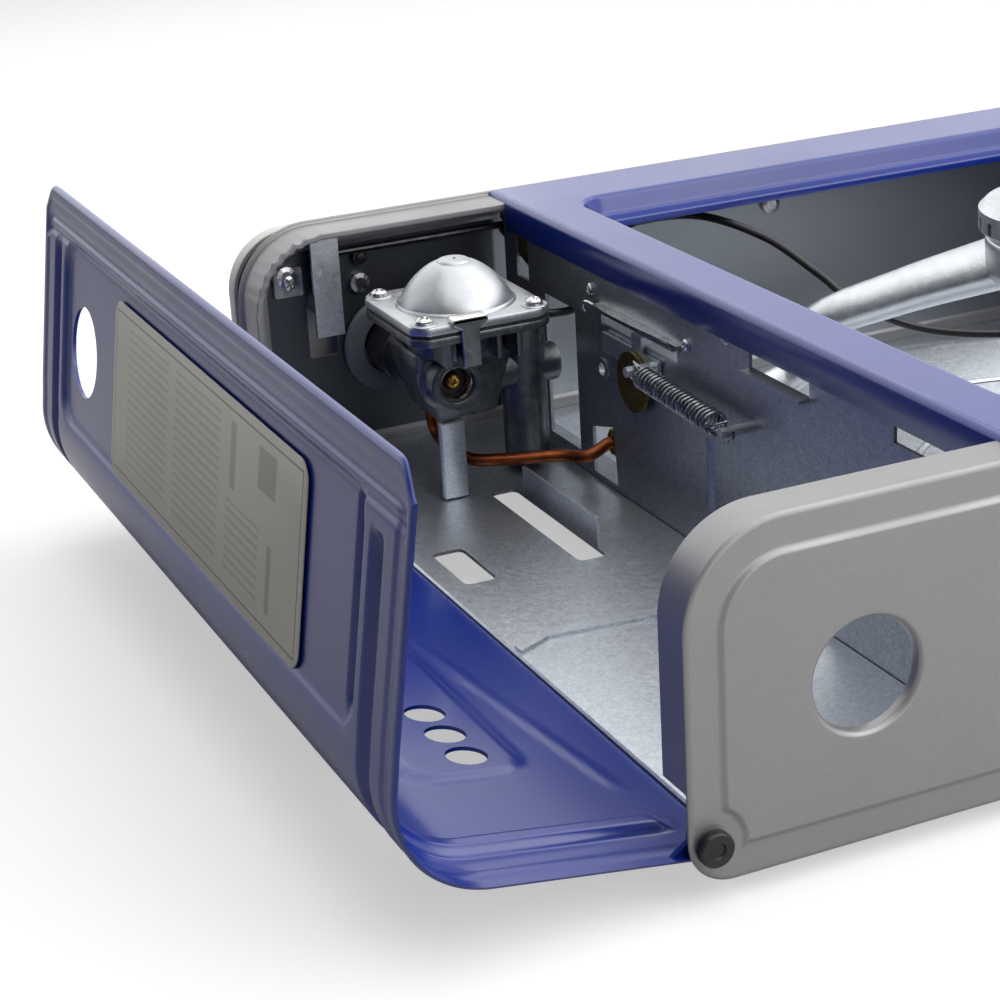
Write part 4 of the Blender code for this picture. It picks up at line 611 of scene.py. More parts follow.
# One end panel; side is 1 for the back and -1 for the front, holes are loops in X and Z.
def makePanel(name, side, holes):
    s = panelSettings
    outline, normal = panelOutline()
    rim = softened(s["rim"], 0.55, 4)
    crimp = np.zeros(len(outline))
    if side < 0:  # gathered waves round the front panel's upper right corner
        centre = np.array([s["right"] - s["upper"], s["high"] - s["upper"]])
        turn = np.degrees(np.arctan2(outline[:, 1] - centre[1], outline[:, 0] - centre[0]))
        crimp = band(turn, 4, 86, 6) * 0.5 * (1 - np.cos(np.radians(turn) * 4 * s["crimps"]))
        crimp *= (outline[:, 0] > centre[0]) * (outline[:, 1] > centre[1]) * s["crimpDepth"]
    rings = []
    for inset, depth in rim:
        share = rise(depth, 2.5, 8) * (inset < 6)
        flat = roundThePin(outline - normal * (inset + crimp * share)[:, None], inset)
        lean = crimp * rise(depth, 12, 15) * (inset < 6) * 0.5
        rings.append(upright(flat, side * (s["face"] - depth + lean)))
    points, faces = skin(rings)
    faces = np.array(faces)
    depth = np.repeat(rim[:, 1], len(outline))
    cut = (points[:, 0] > s["notch"][0]) & (points[:, 2] < s["notch"][1]) & (depth > s["notch"][2])
    faces = faces[~cut[faces].any(1)]
    parts = [(points, faces.tolist())]
    outer = roundThePin(outline - normal * s["rim"][0][0], s["rim"][0][0])
    # the cartridge opening in the back panel has a collar turned inward, the other holes are plain
    shape = softened(s["collar"], 0.6, 4) if side > 0 else np.array([(0, 0), (0, 0.5), (0, s["sheet"])])
    for y, wider in ((s["face"], shape[0][0]), (s["face"] - s["sheet"], shape[-1][0])):
        spots, triangles = flatFace([outer] + [insetLoop(hole, -wider) for hole in holes])
        parts.append((upright(spots, side * y), triangles.tolist()))
    for hole in holes:
        parts.append(skin([upright(insetLoop(hole, -wider), side * (s["face"] - depth))
                           for wider, depth in shape]))
    if side > 0:
        piece = makeMesh(name, parts, silver, "body", sharp=50)
        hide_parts("back_panel")
        return
    inward = parts.pop(2)  # the front panel's inner face is unpainted
    # its inner face carries painted shade past the partition's line
    face = makeMesh(name + "Inside", [inward], innerFace, "body", sharp=50)
    piece = makeMesh(name, parts, silver, "body", sharp=50)
    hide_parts("front_panel")
    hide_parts("front_panel")


# Rectangle's loop with small round corners.
def rectangle(left, right, low, high, radius=0.6):
    return roundedLoop(left, right, low, high, radius, radius, 3)


# Bare sheet steel, darkened past the partition's line, which is 50.6 mm along X in the world: painted
# shade for that dim side of the inner face.
def innerSteel():
    bare, black = "#a4a8ad", "#505357"
    material, tree, shader = makeFinish("sheetSteelPaintedShade", bare, black, 1.0, 0.42,
                                        grain=(900, 3, 0.5, 0.06, 0.0002))
    place = addNode(tree, "ShaderNodeTexCoord").outputs["Object"]
    along = addNode(tree, "ShaderNodeSeparateXYZ", None, {0: place}).outputs[0]
    share = addNode(tree, "ShaderNodeMapRange", {"From Min": 0.050, "From Max": 0.0512},
                    {"Value": along}).outputs[0]
    tone = addNode(tree, "ShaderNodeMix", {"data_type": "RGBA", 6: linear(bare), 7: linear(black)},
                   {0: share}).outputs[2]
    tree.links.new(tone, shader.inputs["Base Color"])
    return material


innerFace = innerSteel()

makePanel("backPanelSheet", 1, [circle(*panelSettings["cartridgeHole"], 72)])
makePanel("frontPanelSheet", -1, [circle(*panelSettings["knobHole"], 72),
                                  rectangle(*panelSettings["leverSlot"])])
print("end panels made")


# Top plate: folded sheet with a stepped well for the drip pan

topSettings = {
    "left": -141.0, "right": 68.5, "half": 117.0, "corner": 12.0, "edge": 84.5, "span": 142.6,
    "top": 82.0, "drop": 10.0, "dropHalf": 129.7, "bend": 24.0, "side": -170.0, "foot": 4.0,
    "roll": 2.0, "sheet": 1.0,
    "well": ((0.0, 82.0), (0.9, 81.6), (2.6, 76.2), (3.6, 75.5), (8.6, 75.5), (9.0, 75.2),
             (9.0, 73.0), (8.0, 73.0), (8.0, 74.5), (3.4, 74.5), (1.8, 75.4), (0.0, 81.0)),
}


# Well walls and flat rim, then the left bend and the right edge as profiles swept along Y.
def makeTopPlate():
    s = topSettings
    well = roundedLoop(s["left"], s["right"], -s["half"], s["half"], s["corner"], s["corner"], 14, 12)
    parts = [skin([level(insetLoop(well, inset), z) for inset, z in softened(s["well"], 0.8, 4)])]
    # flat rim: outer rectangle as far as the bends, hole at the well
    left = s["side"] + s["bend"]
    right = s["edge"] - s["roll"]
    count = 60
    y = np.linspace(-s["span"], s["span"], count)
    margin = 0.6  # strips beside the bends take up the turn of the shading, so the rim stays flat
    framed = np.vstack([np.column_stack([np.full(count, right - margin), y]),
                        np.column_stack([np.full(count, left + margin), y[::-1]])])
    around = insetLoop(well, -margin)
    for z in (s["top"], s["top"] - s["sheet"]):
        spots, triangles = flatFace([framed, around])
        parts.append((level(spots, z), triangles.tolist()))
        for a, b in ((right - margin, right), (left, left + margin)):
            strip = np.vstack([level(np.column_stack([np.full(count, x), y]), z) for x in (a, b)])
            parts.append((strip, gridFaces(2, count).tolist()))
        parts.append(skin([level(loop, z) for loop in (around, well)]))
    # left bend down to the foot, outer and inner face, closed along its rims
    centre = (left, s["top"] - s["bend"])
    outer = [arc(centre, s["bend"] - depth, 90, 180, 15) for depth in (0, s["sheet"])]
    feet = [[[s["side"] + depth, s["foot"]]] for depth in (0, s["sheet"])]
    bendProfile = np.vstack([outer[0], feet[0], feet[1], outer[1][::-1]])
    parts.append(lofted([upright(bendProfile, v) for v in y]))
    # right edge: rolled over and down; the skirt narrows at both ends with a joggle
    corner = (s["edge"] - s["roll"], s["top"] - s["roll"])
    skirt = arc(corner, s["roll"], 90, 0, 7)
    inward = arc(corner, s["roll"] - s["sheet"], 0, 90, 7)
    ends = s["dropHalf"] + 0.6
    rings = []
    for v in np.unique(np.r_[y, -ends, -s["dropHalf"], s["dropHalf"], ends]):
        drop = s["top"] - (s["drop"] if abs(v) <= s["dropHalf"] else 2.1)
        low = [(s["edge"], drop + 0.3), (s["edge"] - 0.3, drop), (s["edge"] - 0.8, drop),
               (s["edge"] - s["sheet"], drop + 0.3)]
        rings.append(upright(np.vstack([skirt, low, inward]), v))
    parts.append(lofted(rings))
    piece = makeMesh("topPlateSheet", parts, blue, "body", sharp=50)
    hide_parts("top_plate")


makeTopPlate()
print("top plate made")


# Lid: one bent sheet. Along it runs s, from the free edge over the bend to the lower edge.

lidSettings = {
    "edge": 78.5, "top": 83.5, "bendCentre": (146.0, 59.5), "bend": 24.0, "length": 162.7,
    "half": 142.6, "sheet": 1.0, "pin": (165.0, 10.2), "swing": -81.4,
    # holes as (s, y, radius) and, after them, the window of grid lines that each sits in
    "holes": ((41.0, -100.0, 13.0, 26, 56, -114, -86), (124.7, 58.5, 5.0, 119, 131, 53, 64),
              (124.7, 71.0, 5.0, 119, 131, 65, 77), (124.7, 83.5, 5.0, 119, 131, 78, 89)),
    "ear": {"radius": 4.6, "reach": 4.5, "high": 7.8, "inner": 139.5, "outer": 141.0, "bore": 3.2},
}


# Point and outward normal of the lid's profile at distance s: flat, quarter arc, flat.
def lidProfile(s):
    q = lidSettings
    flat = q["bendCentre"][0] - q["edge"]
    bendLength = math.pi / 2 * q["bend"]
    angle = np.clip((s - flat) / q["bend"], 0, math.pi / 2)
    x = np.where(s < flat, q["edge"] + s, q["bendCentre"][0] + q["bend"] * np.sin(angle))
    down = np.clip(s - flat - bendLength, 0, None)
    z = np.where(s < flat, q["top"], q["bendCentre"][1] + q["bend"] * np.cos(angle) - down)
    return x, z, np.sin(angle), np.cos(angle)


# 1 inside a rectangle with rounded corners, 0 outside, from the distance to its edge.
def roundedField(s, y, sLow, sHigh, yLow, yHigh, radius, soft):
    u = np.abs(s - (sLow + sHigh) / 2) - (sHigh - sLow) / 2 + radius
    v = np.abs(y - (yLow + yHigh) / 2) - (yHigh - yLow) / 2 + radius
    distance = np.hypot(np.maximum(u, 0), np.maximum(v, 0)) + np.minimum(np.maximum(u, v), 0) - radius
    return rise(-distance, -soft / 2, soft / 2)


# Depth of the lid's pressed pattern below its outer face, in mm, at distance s and width y.
def lidPattern(s, y):
    across = np.abs(y)
    field = roundedField(s, y, 12.7, 65.0, -118.2, 118.2, 8.0, 2.4)
    side = roundedField(s, y, 107.2, 136.6, -118.2, 92.0, 7.0, 2.6)
    # over the top plate's edge, which ends at s 6, the shelf stays shallow enough to clear it
    shelf = (0.4 * rise(s, 3.2, 4.4) + 0.4 * rise(s, 6.6, 8.2)) * (1 - rise(s, 11.5, 15.0))
    depth = np.maximum(1.5 * field, 1.2 * side) + shelf * (1 - rise(across, 138.5, 140.5))
    depth -= 0.6 * bead(s, 10.6, 1.7) * (1 - rise(across, 134, 139))  # ridge along the free edge
    depth += 2.0 * band(y, 112.6, 117.6, 2.0) * band(s, 14.0, 60.0, 4.0)  # short channel, near end
    longStart = np.where(y > 0, 17.0, 13.0)
    longBead = rise(s, longStart, longStart + 5) * (1 - rise(s, 150, 156))
    depth += 2.4 * band(across, 123.2, 128.6, 2.2) * longBead
    rimBead = 0.5 - 0.3 * rise(s, 80, 100)  # shallower beside the panels' flanges
    depth += rimBead * band(across, 135.6, 138.6, 1.4) * rise(s, 9, 14) * (1 - rise(s, 150, 156))
    depth += 0.17 * band(s, 62, 84, 8)
    depth += 0.35 * bead(s, 67.0, 0.9) * (1 - rise(across, 117, 120))
    slant = s - (142 + (y - 20) * 0.12)  # faint slanting crease along the side's foot
    depth += 0.3 * bead(slant, 0, 2.2) * band(y, -60, 105, 10)
    return depth


# Grid lines along s and y, close together where the pattern is fine; every window lies on lines.
lidRows = np.unique(np.r_[0, 0.12, 0.4, 0.8, 1.3, np.arange(1.8, 4.3, 0.4), np.arange(5, 8, 1.0),
                          np.arange(8, 15, 0.6), np.arange(15, 20, 1.0), np.arange(20, 62, 2.0),
                          np.arange(62, 110, 1.5), np.arange(110, 158, 1.5), 158, 160, 161.2, 162.2,
                          lidSettings["length"]])
lidColumns = np.unique(np.r_[np.linspace(-142.6, -141, 5), np.linspace(-140.4, -116.6, 34),
                             np.arange(-116, 50, 2.0), np.arange(50, 92, 1.0),
                             np.arange(92, 104, 2.0), np.linspace(104, 140.4, 57),
                             np.linspace(141, 142.6, 5)])


# Points of the lid's outer or inner face: profile moved inward by pattern, sheet and round rims.
def lidPoint(s, y, inner):
    q = lidSettings
    cornerCut = 7.0 * rise(np.abs(y), 132.5, q["half"]) ** 2 * (1 - rise(s, 0.0, 26.0))
    depth = lidPattern(s, y)
    x, z, nx, nz = lidProfile(s + cornerCut)
    edge = np.minimum(np.minimum(s / 1.6, (q["length"] - s) / 1.2), (q["half"] - np.abs(y)) / 1.6)
    edge = np.clip(edge, 0, 1)
    # the free edge is folded back on itself, so it is thicker there
    thick = q["sheet"] + 0.4 * (1 - rise(s, 2.2, 3.2)) * (1 - rise(np.abs(y), 130, 139))
    if inner:
        depth = depth + thick
    else:  # the rims are rounded: quarter of an ellipse down to the inner face
        depth = depth + thick * (1 - np.sqrt(1 - (1 - edge) ** 2))
    return np.stack([x - nx * depth, y, z - nz * depth], -1)


# Turns points from the closed lid to the open one, about the hinge pin.
def lidOpen(points):
    q = lidSettings
    a = math.radians(-q["swing"])
    x, z = points[:, 0] - q["pin"][0], points[:, 2] - q["pin"][1]
    return np.stack([q["pin"][0] + x * math.cos(a) + z * math.sin(a), points[:, 1],
                     q["pin"][1] - x * math.sin(a) + z * math.cos(a)], -1)


# The sheet as a grid with its holes' windows left out, a patch from window to rim in each, and ears.
def makeLid():
    q = lidSettings
    s, y = np.meshgrid(lidRows, lidColumns, indexing="ij")
    rows, columns = s.shape
    faces = gridFaces(rows, columns)
    middle = (np.stack([s, y], -1).reshape(-1, 2))[faces].mean(1)
    keep = np.ones(len(faces), bool)
    parts = []
    for sHole, yHole, radius, sLow, sHigh, yLow, yHigh in q["holes"]:
        keep &= ~((middle[:, 0] > sLow) & (middle[:, 0] < sHigh)
                  & (middle[:, 1] > yLow) & (middle[:, 1] < yHigh))
        sLines = lidRows[(lidRows >= sLow - 0.01) & (lidRows <= sHigh + 0.01)]
        yLines = lidColumns[(lidColumns >= yLow - 0.01) & (lidColumns <= yHigh + 0.01)]
        border = np.vstack([np.column_stack([sLines[:-1], np.full(len(sLines) - 1, yLines[0])]),
                            np.column_stack([np.full(len(yLines) - 1, sLines[-1]), yLines[:-1]]),
                            np.column_stack([sLines[:0:-1], np.full(len(sLines) - 1, yLines[-1])]),
                            np.column_stack([np.full(len(yLines) - 1, sLines[0]), yLines[:0:-1]])])
        turn = np.arctan2(border[:, 1] - yHole, border[:, 0] - sHole)
        rim = np.column_stack([sHole + radius * np.cos(turn), yHole + radius * np.sin(turn)])
        blend = np.array([0, 0.35, 0.65, 0.85, 0.95, 1.0])[:, None, None]
        patch = border * (1 - blend) + rim * blend
        flat = patch.reshape(-1, 2)
        around = gridFaces(len(blend), len(border), closeColumns=True).tolist()
        parts += [(lidPoint(flat[:, 0], flat[:, 1], inner), around) for inner in (False, True)]
        parts.append(skin([lidPoint(rim[:, 0], rim[:, 1], inner) for inner in (False, True)]))
    for inner in (False, True):
        points = lidPoint(s.ravel(), y.ravel(), inner)
        parts.insert(0, (points, faces[keep].tolist()))
    ear = q["ear"]
    outline = np.vstack([arc((0, 0), ear["radius"], 125, 270, 14), [
        [ear["reach"], -ear["radius"]], [ear["reach"], ear["high"]],
        [0, ear["high"] - ear["radius"]]]]) + np.array(q["pin"])
    for side in (-1, 1):  # ears that carry the hinge pins
        near, far = sorted((side * ear["inner"], side * ear["outer"]))
        parts += plate(outline, [circle(*q["pin"], ear["bore"], 20)], near, far, "xzy")
    parts = [(lidOpen(points), f) for points, f in parts]
    piece = makeMesh("lidSheet", parts, blue, "lid", sharp=55)
    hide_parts("lid")


makeLid()
print("lid made")


# Regulator: die-cast valve body with a domed cover screwed over a gasket

# Square loop with cut corners, each corner softened.
def chamferedLoop(x, y, side, chamfer, inset=0.0):
    h, c = side / 2 - inset, chamfer
    corners = [(h, -h + c), (h, h - c), (h - c, h), (-h + c, h), (-h, h - c), (-h, -h + c),
               (-h + c, -h), (h - c, -h)]
    return softLoop(corners, 1.2, 3) + np.array([x, y])


# Flat block with a softened top and bottom rim, from rings of one loop drawn at several insets.
def slab(loopAt, low, high, bevel=0.5):
    steps = ((bevel, low), (bevel * 0.3, low + bevel * 0.3), (0, low + bevel), (0, high - bevel),
             (bevel * 0.3, high - bevel * 0.3), (bevel, high))
    return lofted([level(loopAt(inset), z) for inset, z in steps])


regulatorSettings = {
    "x": 121.0, "y": -86.0, "flange": 44.0, "chamfer": 4.0, "inlet": (126.5, 0, 44),
    "column": (96.5, -95, 0), "outlet": (121, -111.5), "valve": (121, 0, 38),
    "dome": ((17.9, 66.0), (17.6, 66.5), (17.1, 66.9)), "domeRadius": 17.0, "domeFlat": 5.2,
    "domeLow": 66.0, "domeHigh": 78.0, "domePower": 1.45, "screwReach": 17.4,
    "crown": [(4.9, 78.05), (4.6, 78.5), (4.2, 78.75), (1.0, 78.9), (0.7, 78.2), (0.0, 78.1)],
    "boss": [(4.0, 65.6), (4.0, 66.1), (3.7, 66.4), (0, 66.4)],
    "washer": [(2.9, 66.3), (2.9, 66.7), (0, 66.7)],
    # body: the core's corners as X from the axis and Z, and its insets at depths along Y
    "core": ((-9.5, 31), (9.5, 31), (15.5, 49), (15.5, 53), (-15.5, 53), (-15.5, 49)),
    "coreDepths": ((1.2, -104), (0.4, -103.6), (0, -102.8), (0, -83.2), (0.4, -82.4), (1.2, -82)),
    "bowl": [(0, 52), (14.6, 52), (15, 52.6), (15, 57), (15.5, 59.4), (17.5, 60.4), (0, 60.4)],
    "inletBoss": [(0, -83.0), (9.6, -83.0), (9.6, -81.6), (8.2, -80.6), (8.0, -79.8), (8.0, -75.4),
                  (7.6, -75), (6.0, -75), (5.6, -75.4), (5.6, -82), (0, -82)],
    "valveNeck": [(0, -118.6), (7.4, -118.6), (8, -118), (8, -112), (7.2, -110.6), (7.2, -106),
                  (8.4, -104.4), (8.4, -103.4), (0, -103.4)],
    "ribs": (-11, -5.5, 5.5, 11),
}


# Cover: square flange, a domed cup with a button on its crown, and four screw bosses.
def makeRegulatorCover():
    s = regulatorSettings
    flange = slab(lambda inset: chamferedLoop(s["x"], s["y"], s["flange"], s["chamfer"], inset),
                  63.4, 66.0, 0.5)
    height = s["domeHigh"] - s["domeLow"]
    angle = np.radians(np.linspace(6, 90, 18))
    # between an ellipse's quarter (power 1) and a cone (power 2)
    shellRows = np.stack([
        s["domeFlat"] + (s["domeRadius"] - s["domeFlat"]) * np.cos(angle) ** s["domePower"],
        s["domeLow"] + height * np.sin(angle) ** s["domePower"]], -1)
    profile = np.vstack([[(18.2, 65.0)], s["dome"], shellRows, s["crown"]])
    dome = turned(profile, 64, (s["x"], s["y"], 0))
    reach = s["screwReach"]
    bosses = [turned(s["boss"], 24, (s["x"] + a * reach, s["y"] + b * reach, 0))
              for a in (-1, 1) for b in (-1, 1)]
    piece = makeMesh("regulatorCoverCast", [flange, dome] + bosses, spunZinc, "body", sharp=35)
    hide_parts("regulator_cover")


# Turned solid with softened rims, along any axis.
def roundBar(radius, low, high, centre, axis, steps=36, bevel=0.5):
    profile = [(0, low), (radius - bevel, low), (radius - bevel * 0.3, low + bevel * 0.3),
               (radius, low + bevel), (radius, high - bevel), (radius - bevel * 0.3, high - bevel * 0.3),
               (radius - bevel, high), (0, high)]
    return turned(profile, steps, centre, axis)


# Body casting: flange, tapered core, bowl, inlet boss, column, elbow, valve neck, nut and ribs.
def makeRegulatorBody():
    s = regulatorSettings
    x, y = s["x"], s["y"]
    parts = [slab(lambda inset: chamferedLoop(x, y, s["flange"], s["chamfer"], inset), 60.0, 62.6, 0.5)]
    core = softLoop([(x + across, z) for across, z in s["core"]], 1.6, 4)
    parts.append(lofted([upright(insetLoop(core, inset), depth) for inset, depth in s["coreDepths"]]))
    parts.append(turned(s["bowl"], 48, (x, y, 0)))
    parts.append(turned(s["inletBoss"], 48, s["inlet"], "y"))
    parts.append(roundBar(7.0, 9, 56, s["column"], "z", 40, 0.8))
    parts.append(roundBar(4.4, 55.5, 58.0, s["column"], "z", 28, 0.6))
    parts.append(roundBar(6.0, 86, 120, (0, -95, 39), "x", 32, 0.8))
    parts.append(turned(s["valveNeck"], 36, s["valve"], "y"))
    hexagon = arc(s["outlet"], 4.1, 0, 300, 6)
    parts.append(lofted([level(insetLoop(hexagon, i), z)
                         for i, z in ((0.4, 25.3), (0, 25.7), (0, 30), (0.4, 30.4))]))
    parts.append(roundBar(3.4, 29, 36, (*s["outlet"], 0), "z", 24, 0.3))
    for dx in s["ribs"]:  # casting ribs under the flange
        parts.append(softBox((x + dx - 0.9, -82.4, 52),
                             (x + dx + 0.9, -69.5 + abs(dx) * 0.35, 60.2), 0.4))
    piece = makeMesh("regulatorBodyCast", parts, zincCastShaded, "body", sharp=35)
    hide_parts("regulator_body")


# Pan-head screw along an axis: a domed head with a cross sunk in it, as height over (r, angle).
def screwHead(centre, radius, height, axis, turn):
    count = 64
    r = np.r_[0.0, np.linspace(0.12, 1, 13)] * radius
    angle = np.linspace(0, 2 * np.pi, count, endpoint=False)
    rr, aa = np.meshgrid(r, angle, indexing="ij")
    u, v = rr * np.cos(aa - turn), rr * np.sin(aa - turn)
    dome = height * np.sqrt(np.clip(1 - (rr / radius) ** 2 * 0.8, 0, 1))
    arm = radius * 0.17
    reach = 1 - rise(rr, radius * 0.5, radius * 0.68)
    cross = np.maximum(1 - rise(np.abs(u), arm * 0.6, arm * 1.4),
                       1 - rise(np.abs(v), arm * 0.6, arm * 1.4))
    h = dome - cross * reach * height * 0.55
    top = np.stack([rr * np.cos(aa), rr * np.sin(aa), h], -1)
    foot = np.stack([radius * np.cos(angle), radius * np.sin(angle), np.zeros(count)], -1)
    points, faces = skin([*top, foot])
    order = {"z": (0, 1, 2), "y": (0, 2, 1), "x": (2, 0, 1)}[axis]
    return points[:, order] + np.asarray(centre, float), faces


# The cover's four screws, each with a washer and its cross turned to another angle.
def makeScrews():
    s = regulatorSettings
    spots = {"a": (1, 1), "b": (-1, 1), "c": (-1, -1), "d": (1, -1)}
    for k, (letter, (a, b)) in enumerate(spots.items()):
        x, y = s["x"] + a * s["screwReach"], s["y"] + b * s["screwReach"]
        washer = turned(s["washer"], 32, (x, y, 0))
        head = screwHead((x, y, 66.6), 2.5, 1.7, "z", 0.5 + k * 1.1)
        piece = makeMesh("coverScrew" + letter.upper(), [washer, head], steel, "body", sharp=35)
        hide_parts("cover_screw_" + letter)


trimSettings = {  # profiles as (radius, y) about the inlet's axis, boxes as two corners
    "half": 5.5, "guideDepth": (-63.7, -62.2), "guideHead": ((121.2, -67.2, 66.15), (131.8, -62.2, 67.9)),
    "seat": [(5.5, -82), (5.5, -76.4), (4.9, -76.0), (4.5, -76.6), (4.5, -80.6), (5.5, -80.6)],
    "seal": [(4.5, -81.9), (4.5, -80.2), (2.5, -80.0), (2.5, -81.9)],
    "nozzle": [(0, -79.4), (0.7, -79.4), (0.7, -77.6), (1.5, -77.4), (2.1, -78.2), (2.4, -81.9),
               (0, -81.9)],
    "post": ((122.7, -84, 6.4), (130.3, -81, 30.7)),
}


# Guide tab, inlet's seat ring, seal and nozzle, and the post under the regulator.
def makeRegulatorTrim():
    s = trimSettings
    inlet = regulatorSettings["inlet"]
    # T-shaped guide that the cartridge collar meets: its outline in X and Z, 1.5 thick in Y
    x, half = inlet[0], s["half"]
    tee = softLoop([(x - half / 2, 53), (x + half / 2, 53), (x + half / 2, 64.4), (x + half, 66),
                    (x + half, 67.5), (x - half, 67.5), (x - half, 66), (x - half / 2, 64.4)], 0.5, 3)
    tab = [softBox(*s["guideHead"], 0.35)] + plate(tee, [], *s["guideDepth"], "xzy", 0.25)
    piece = makeMesh("cartridgeGuideTab", tab, steel, "body")
    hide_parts("cartridge_guide")
    # inlet: steel seat ring, rubber seal and a small brass nozzle with its bore
    ring = turned(s["seat"], 40, inlet, "y")
    makeMesh("inletSeatRing", [ring], steel, "body", sharp=40)
    seal = turned(softened(s["seal"], 0.4, 3), 36, inlet, "y")
    piece = makeMesh("inletSealRing", [seal], rubber, "body", sharp=40)
    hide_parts("inlet_seal")
    nozzle = turned(softened(s["nozzle"], 0.2, 3), 32, inlet, "y")
    piece = makeMesh("inletNozzleBrass", [nozzle], brass, "body", sharp=40)
    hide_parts("inlet_nozzle")
    piece = makeMesh("regulatorPostBar", [softBox(*s["post"], 0.4)], galvanised, "body")
    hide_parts("regulator_post")


# Bare metal of the spun cover: smoother than the casting under it.
spunZinc = castMetal("pressedZincCover", "#b9bbbe", "#a2a5a9", 500, 0.0002, 0.34, 0.46)

makeRegulatorCover()
makeRegulatorBody()
makeScrews()
makeRegulatorTrim()
print("regulator made")


# The catch's spring, ignition lead and gas pipe

springSettings = {"x": 90.2, "front": (-33.0, 53.0), "back": (21.0, 51.0), "coil": 3.1, "wire": 0.42,
                  "loop": 2.8, "turns": 23}


# Extension spring: round hook, close coil whose radius opens out at its ends, round hook.
def makeSpring():
    s = springSettings
    front, back = (np.array([s["x"], *s[end]]) for end in ("front", "back"))
    ahead = (back - front) / np.linalg.norm(back - front)
    side = np.array([1.0, 0, 0])
    lift = np.cross(side, ahead)
    loopAngle = np.radians(np.linspace(-200, 90, 40))[:, None]
    hooks = [end + sign * ahead * s["loop"] * np.cos(loopAngle) + lift * s["loop"] * np.sin(loopAngle)
             for end, sign in ((front, 1), (back, -1))]
    gap = s["loop"] + 2.6
    start, end = front + ahead * gap, back - ahead * gap
    share = np.linspace(0, 1, s["turns"] * 24)[:, None]
    turn = 2 * np.pi * s["turns"] * share + np.pi / 2
    radius = s["coil"] * np.minimum(1, np.minimum(0.45 + share * s["turns"] * 1.2,
                                                  0.45 + (1 - share) * s["turns"] * 1.2))
    coil = start + (end - start) * share + lift * radius * np.sin(turn) + side * radius * np.cos(turn)
    route = np.vstack([hooks[0], coil[6:-6], hooks[1][::-1]])
    keep = np.r_[True, np.linalg.norm(np.diff(route, axis=0), axis=1) > 0.05]
    spring = makeMesh("catchSpringWire", [tube(route[keep], s["wire"], 8)], springSteel, None)
    # the front hook moves with the catch and the back one stays; the two points below are worked out but
    # not used, and the coil is baked where it is
    world(front + ahead * 4).tolist()
    world(back - ahead * 4).tolist()
    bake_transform(spring)
    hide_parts("catch_spring")


springSteel = platedMetal("oiledSpringSteel", "#8d8f93", "#5f6165", 0.22, 0.34)


# Lead: its points as shares of the half width, half depth and height, as read from the photograph.
leadSettings = {
    "radius": 1.3, "start": (119.0, -130.9, 51.3), "boot": 3.6, "low": 53.0, "high": 58.5,
    "size": (170, 145, 82),
    "shares": [(0.618, -0.903, 0.793), (0.565, -0.821, 0.732), (0.518, -0.724, 0.646),
               (0.482, -0.690, 0.634), (0.429, -0.683, 0.659), (0.353, -0.759, 0.756),
               (0.282, -0.841, 0.817), (0.224, -0.876, 0.835), (0.129, -0.807, 0.848),
               (0.071, -0.641, 0.805), (0.029, -0.517, 0.707), (-0.029, -0.455, 0.585),
               (-0.147, -0.414, 0.463), (-0.282, -0.317, 0.439), (-0.365, -0.186, 0.512)],
}


# Ignition lead from the igniter's boot along its route to the foot of the electrode.
def makeLead():
    s = leadSettings
    electrode = np.array([(p[0] + p[1]) / 2 for p in zip(*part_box("ignition_electrode"))])
    electrode = (electrode - stoveOrigin) * 1000
    start = np.array(s["start"])
    route = np.vstack([start, start + (0, 0, s["boot"]), np.array(s["shares"]) * s["size"],
                       [*electrode[:2], s["low"]], [*electrode[:2], s["high"]]])
    piece = makeMesh("ignitionLead", [tube(smoothPath(route, 8), s["radius"], 14)], leadSleeve, "body")
    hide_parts("ignition_wire")


pipeSettings = {
    "radius": 1.9, "route": [(121, -111.5, 24.7), (121, -111.5, 20.9), (121, -105.8, 17), (121, -85, 17),
                             (113, -78, 17), (96.5, -71.5, 17), (90.5, -65.4, 17.4), (83.9, -65, 20),
                             (82.4, -65, 20)],
}


# Gas pipe from the valve's nut to the partition.
def makePipe():
    s = pipeSettings
    piece = makeMesh("gasPipeTube", [tube(smoothPath(s["route"], 8), s["radius"], 18)], copper, "body")
    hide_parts("gas_pipe")


makeSpring()
makeLead()
makePipe()
print("spring, lead and pipe made")


# Front fascia with its knob, lever and igniter

fasciaSettings = {
    "left": -170.0, "right": 170.0, "high": 79.5, "upper": 19.0, "lower": 11.0, "face": -154.0,
    "rim": ((3.4, -154.0), (3.0, -154.0), (1.0, -153.4), (0.0, -152.2), (0.0, -147.4), (0.8, -147.2),
            (0.8, -144.7), (1.6, -144.7), (1.6, -151.6), (3.4, -152.8)),
    "knob": (121.0, 38.0, 6.0), "slot": (153.75, 160.25, 37.3, 58.7),
    "bosses": ((159.0, 70.5), (142.5, 66.6), (-18.9, 68.25), (-156.25, 66.6)),
}


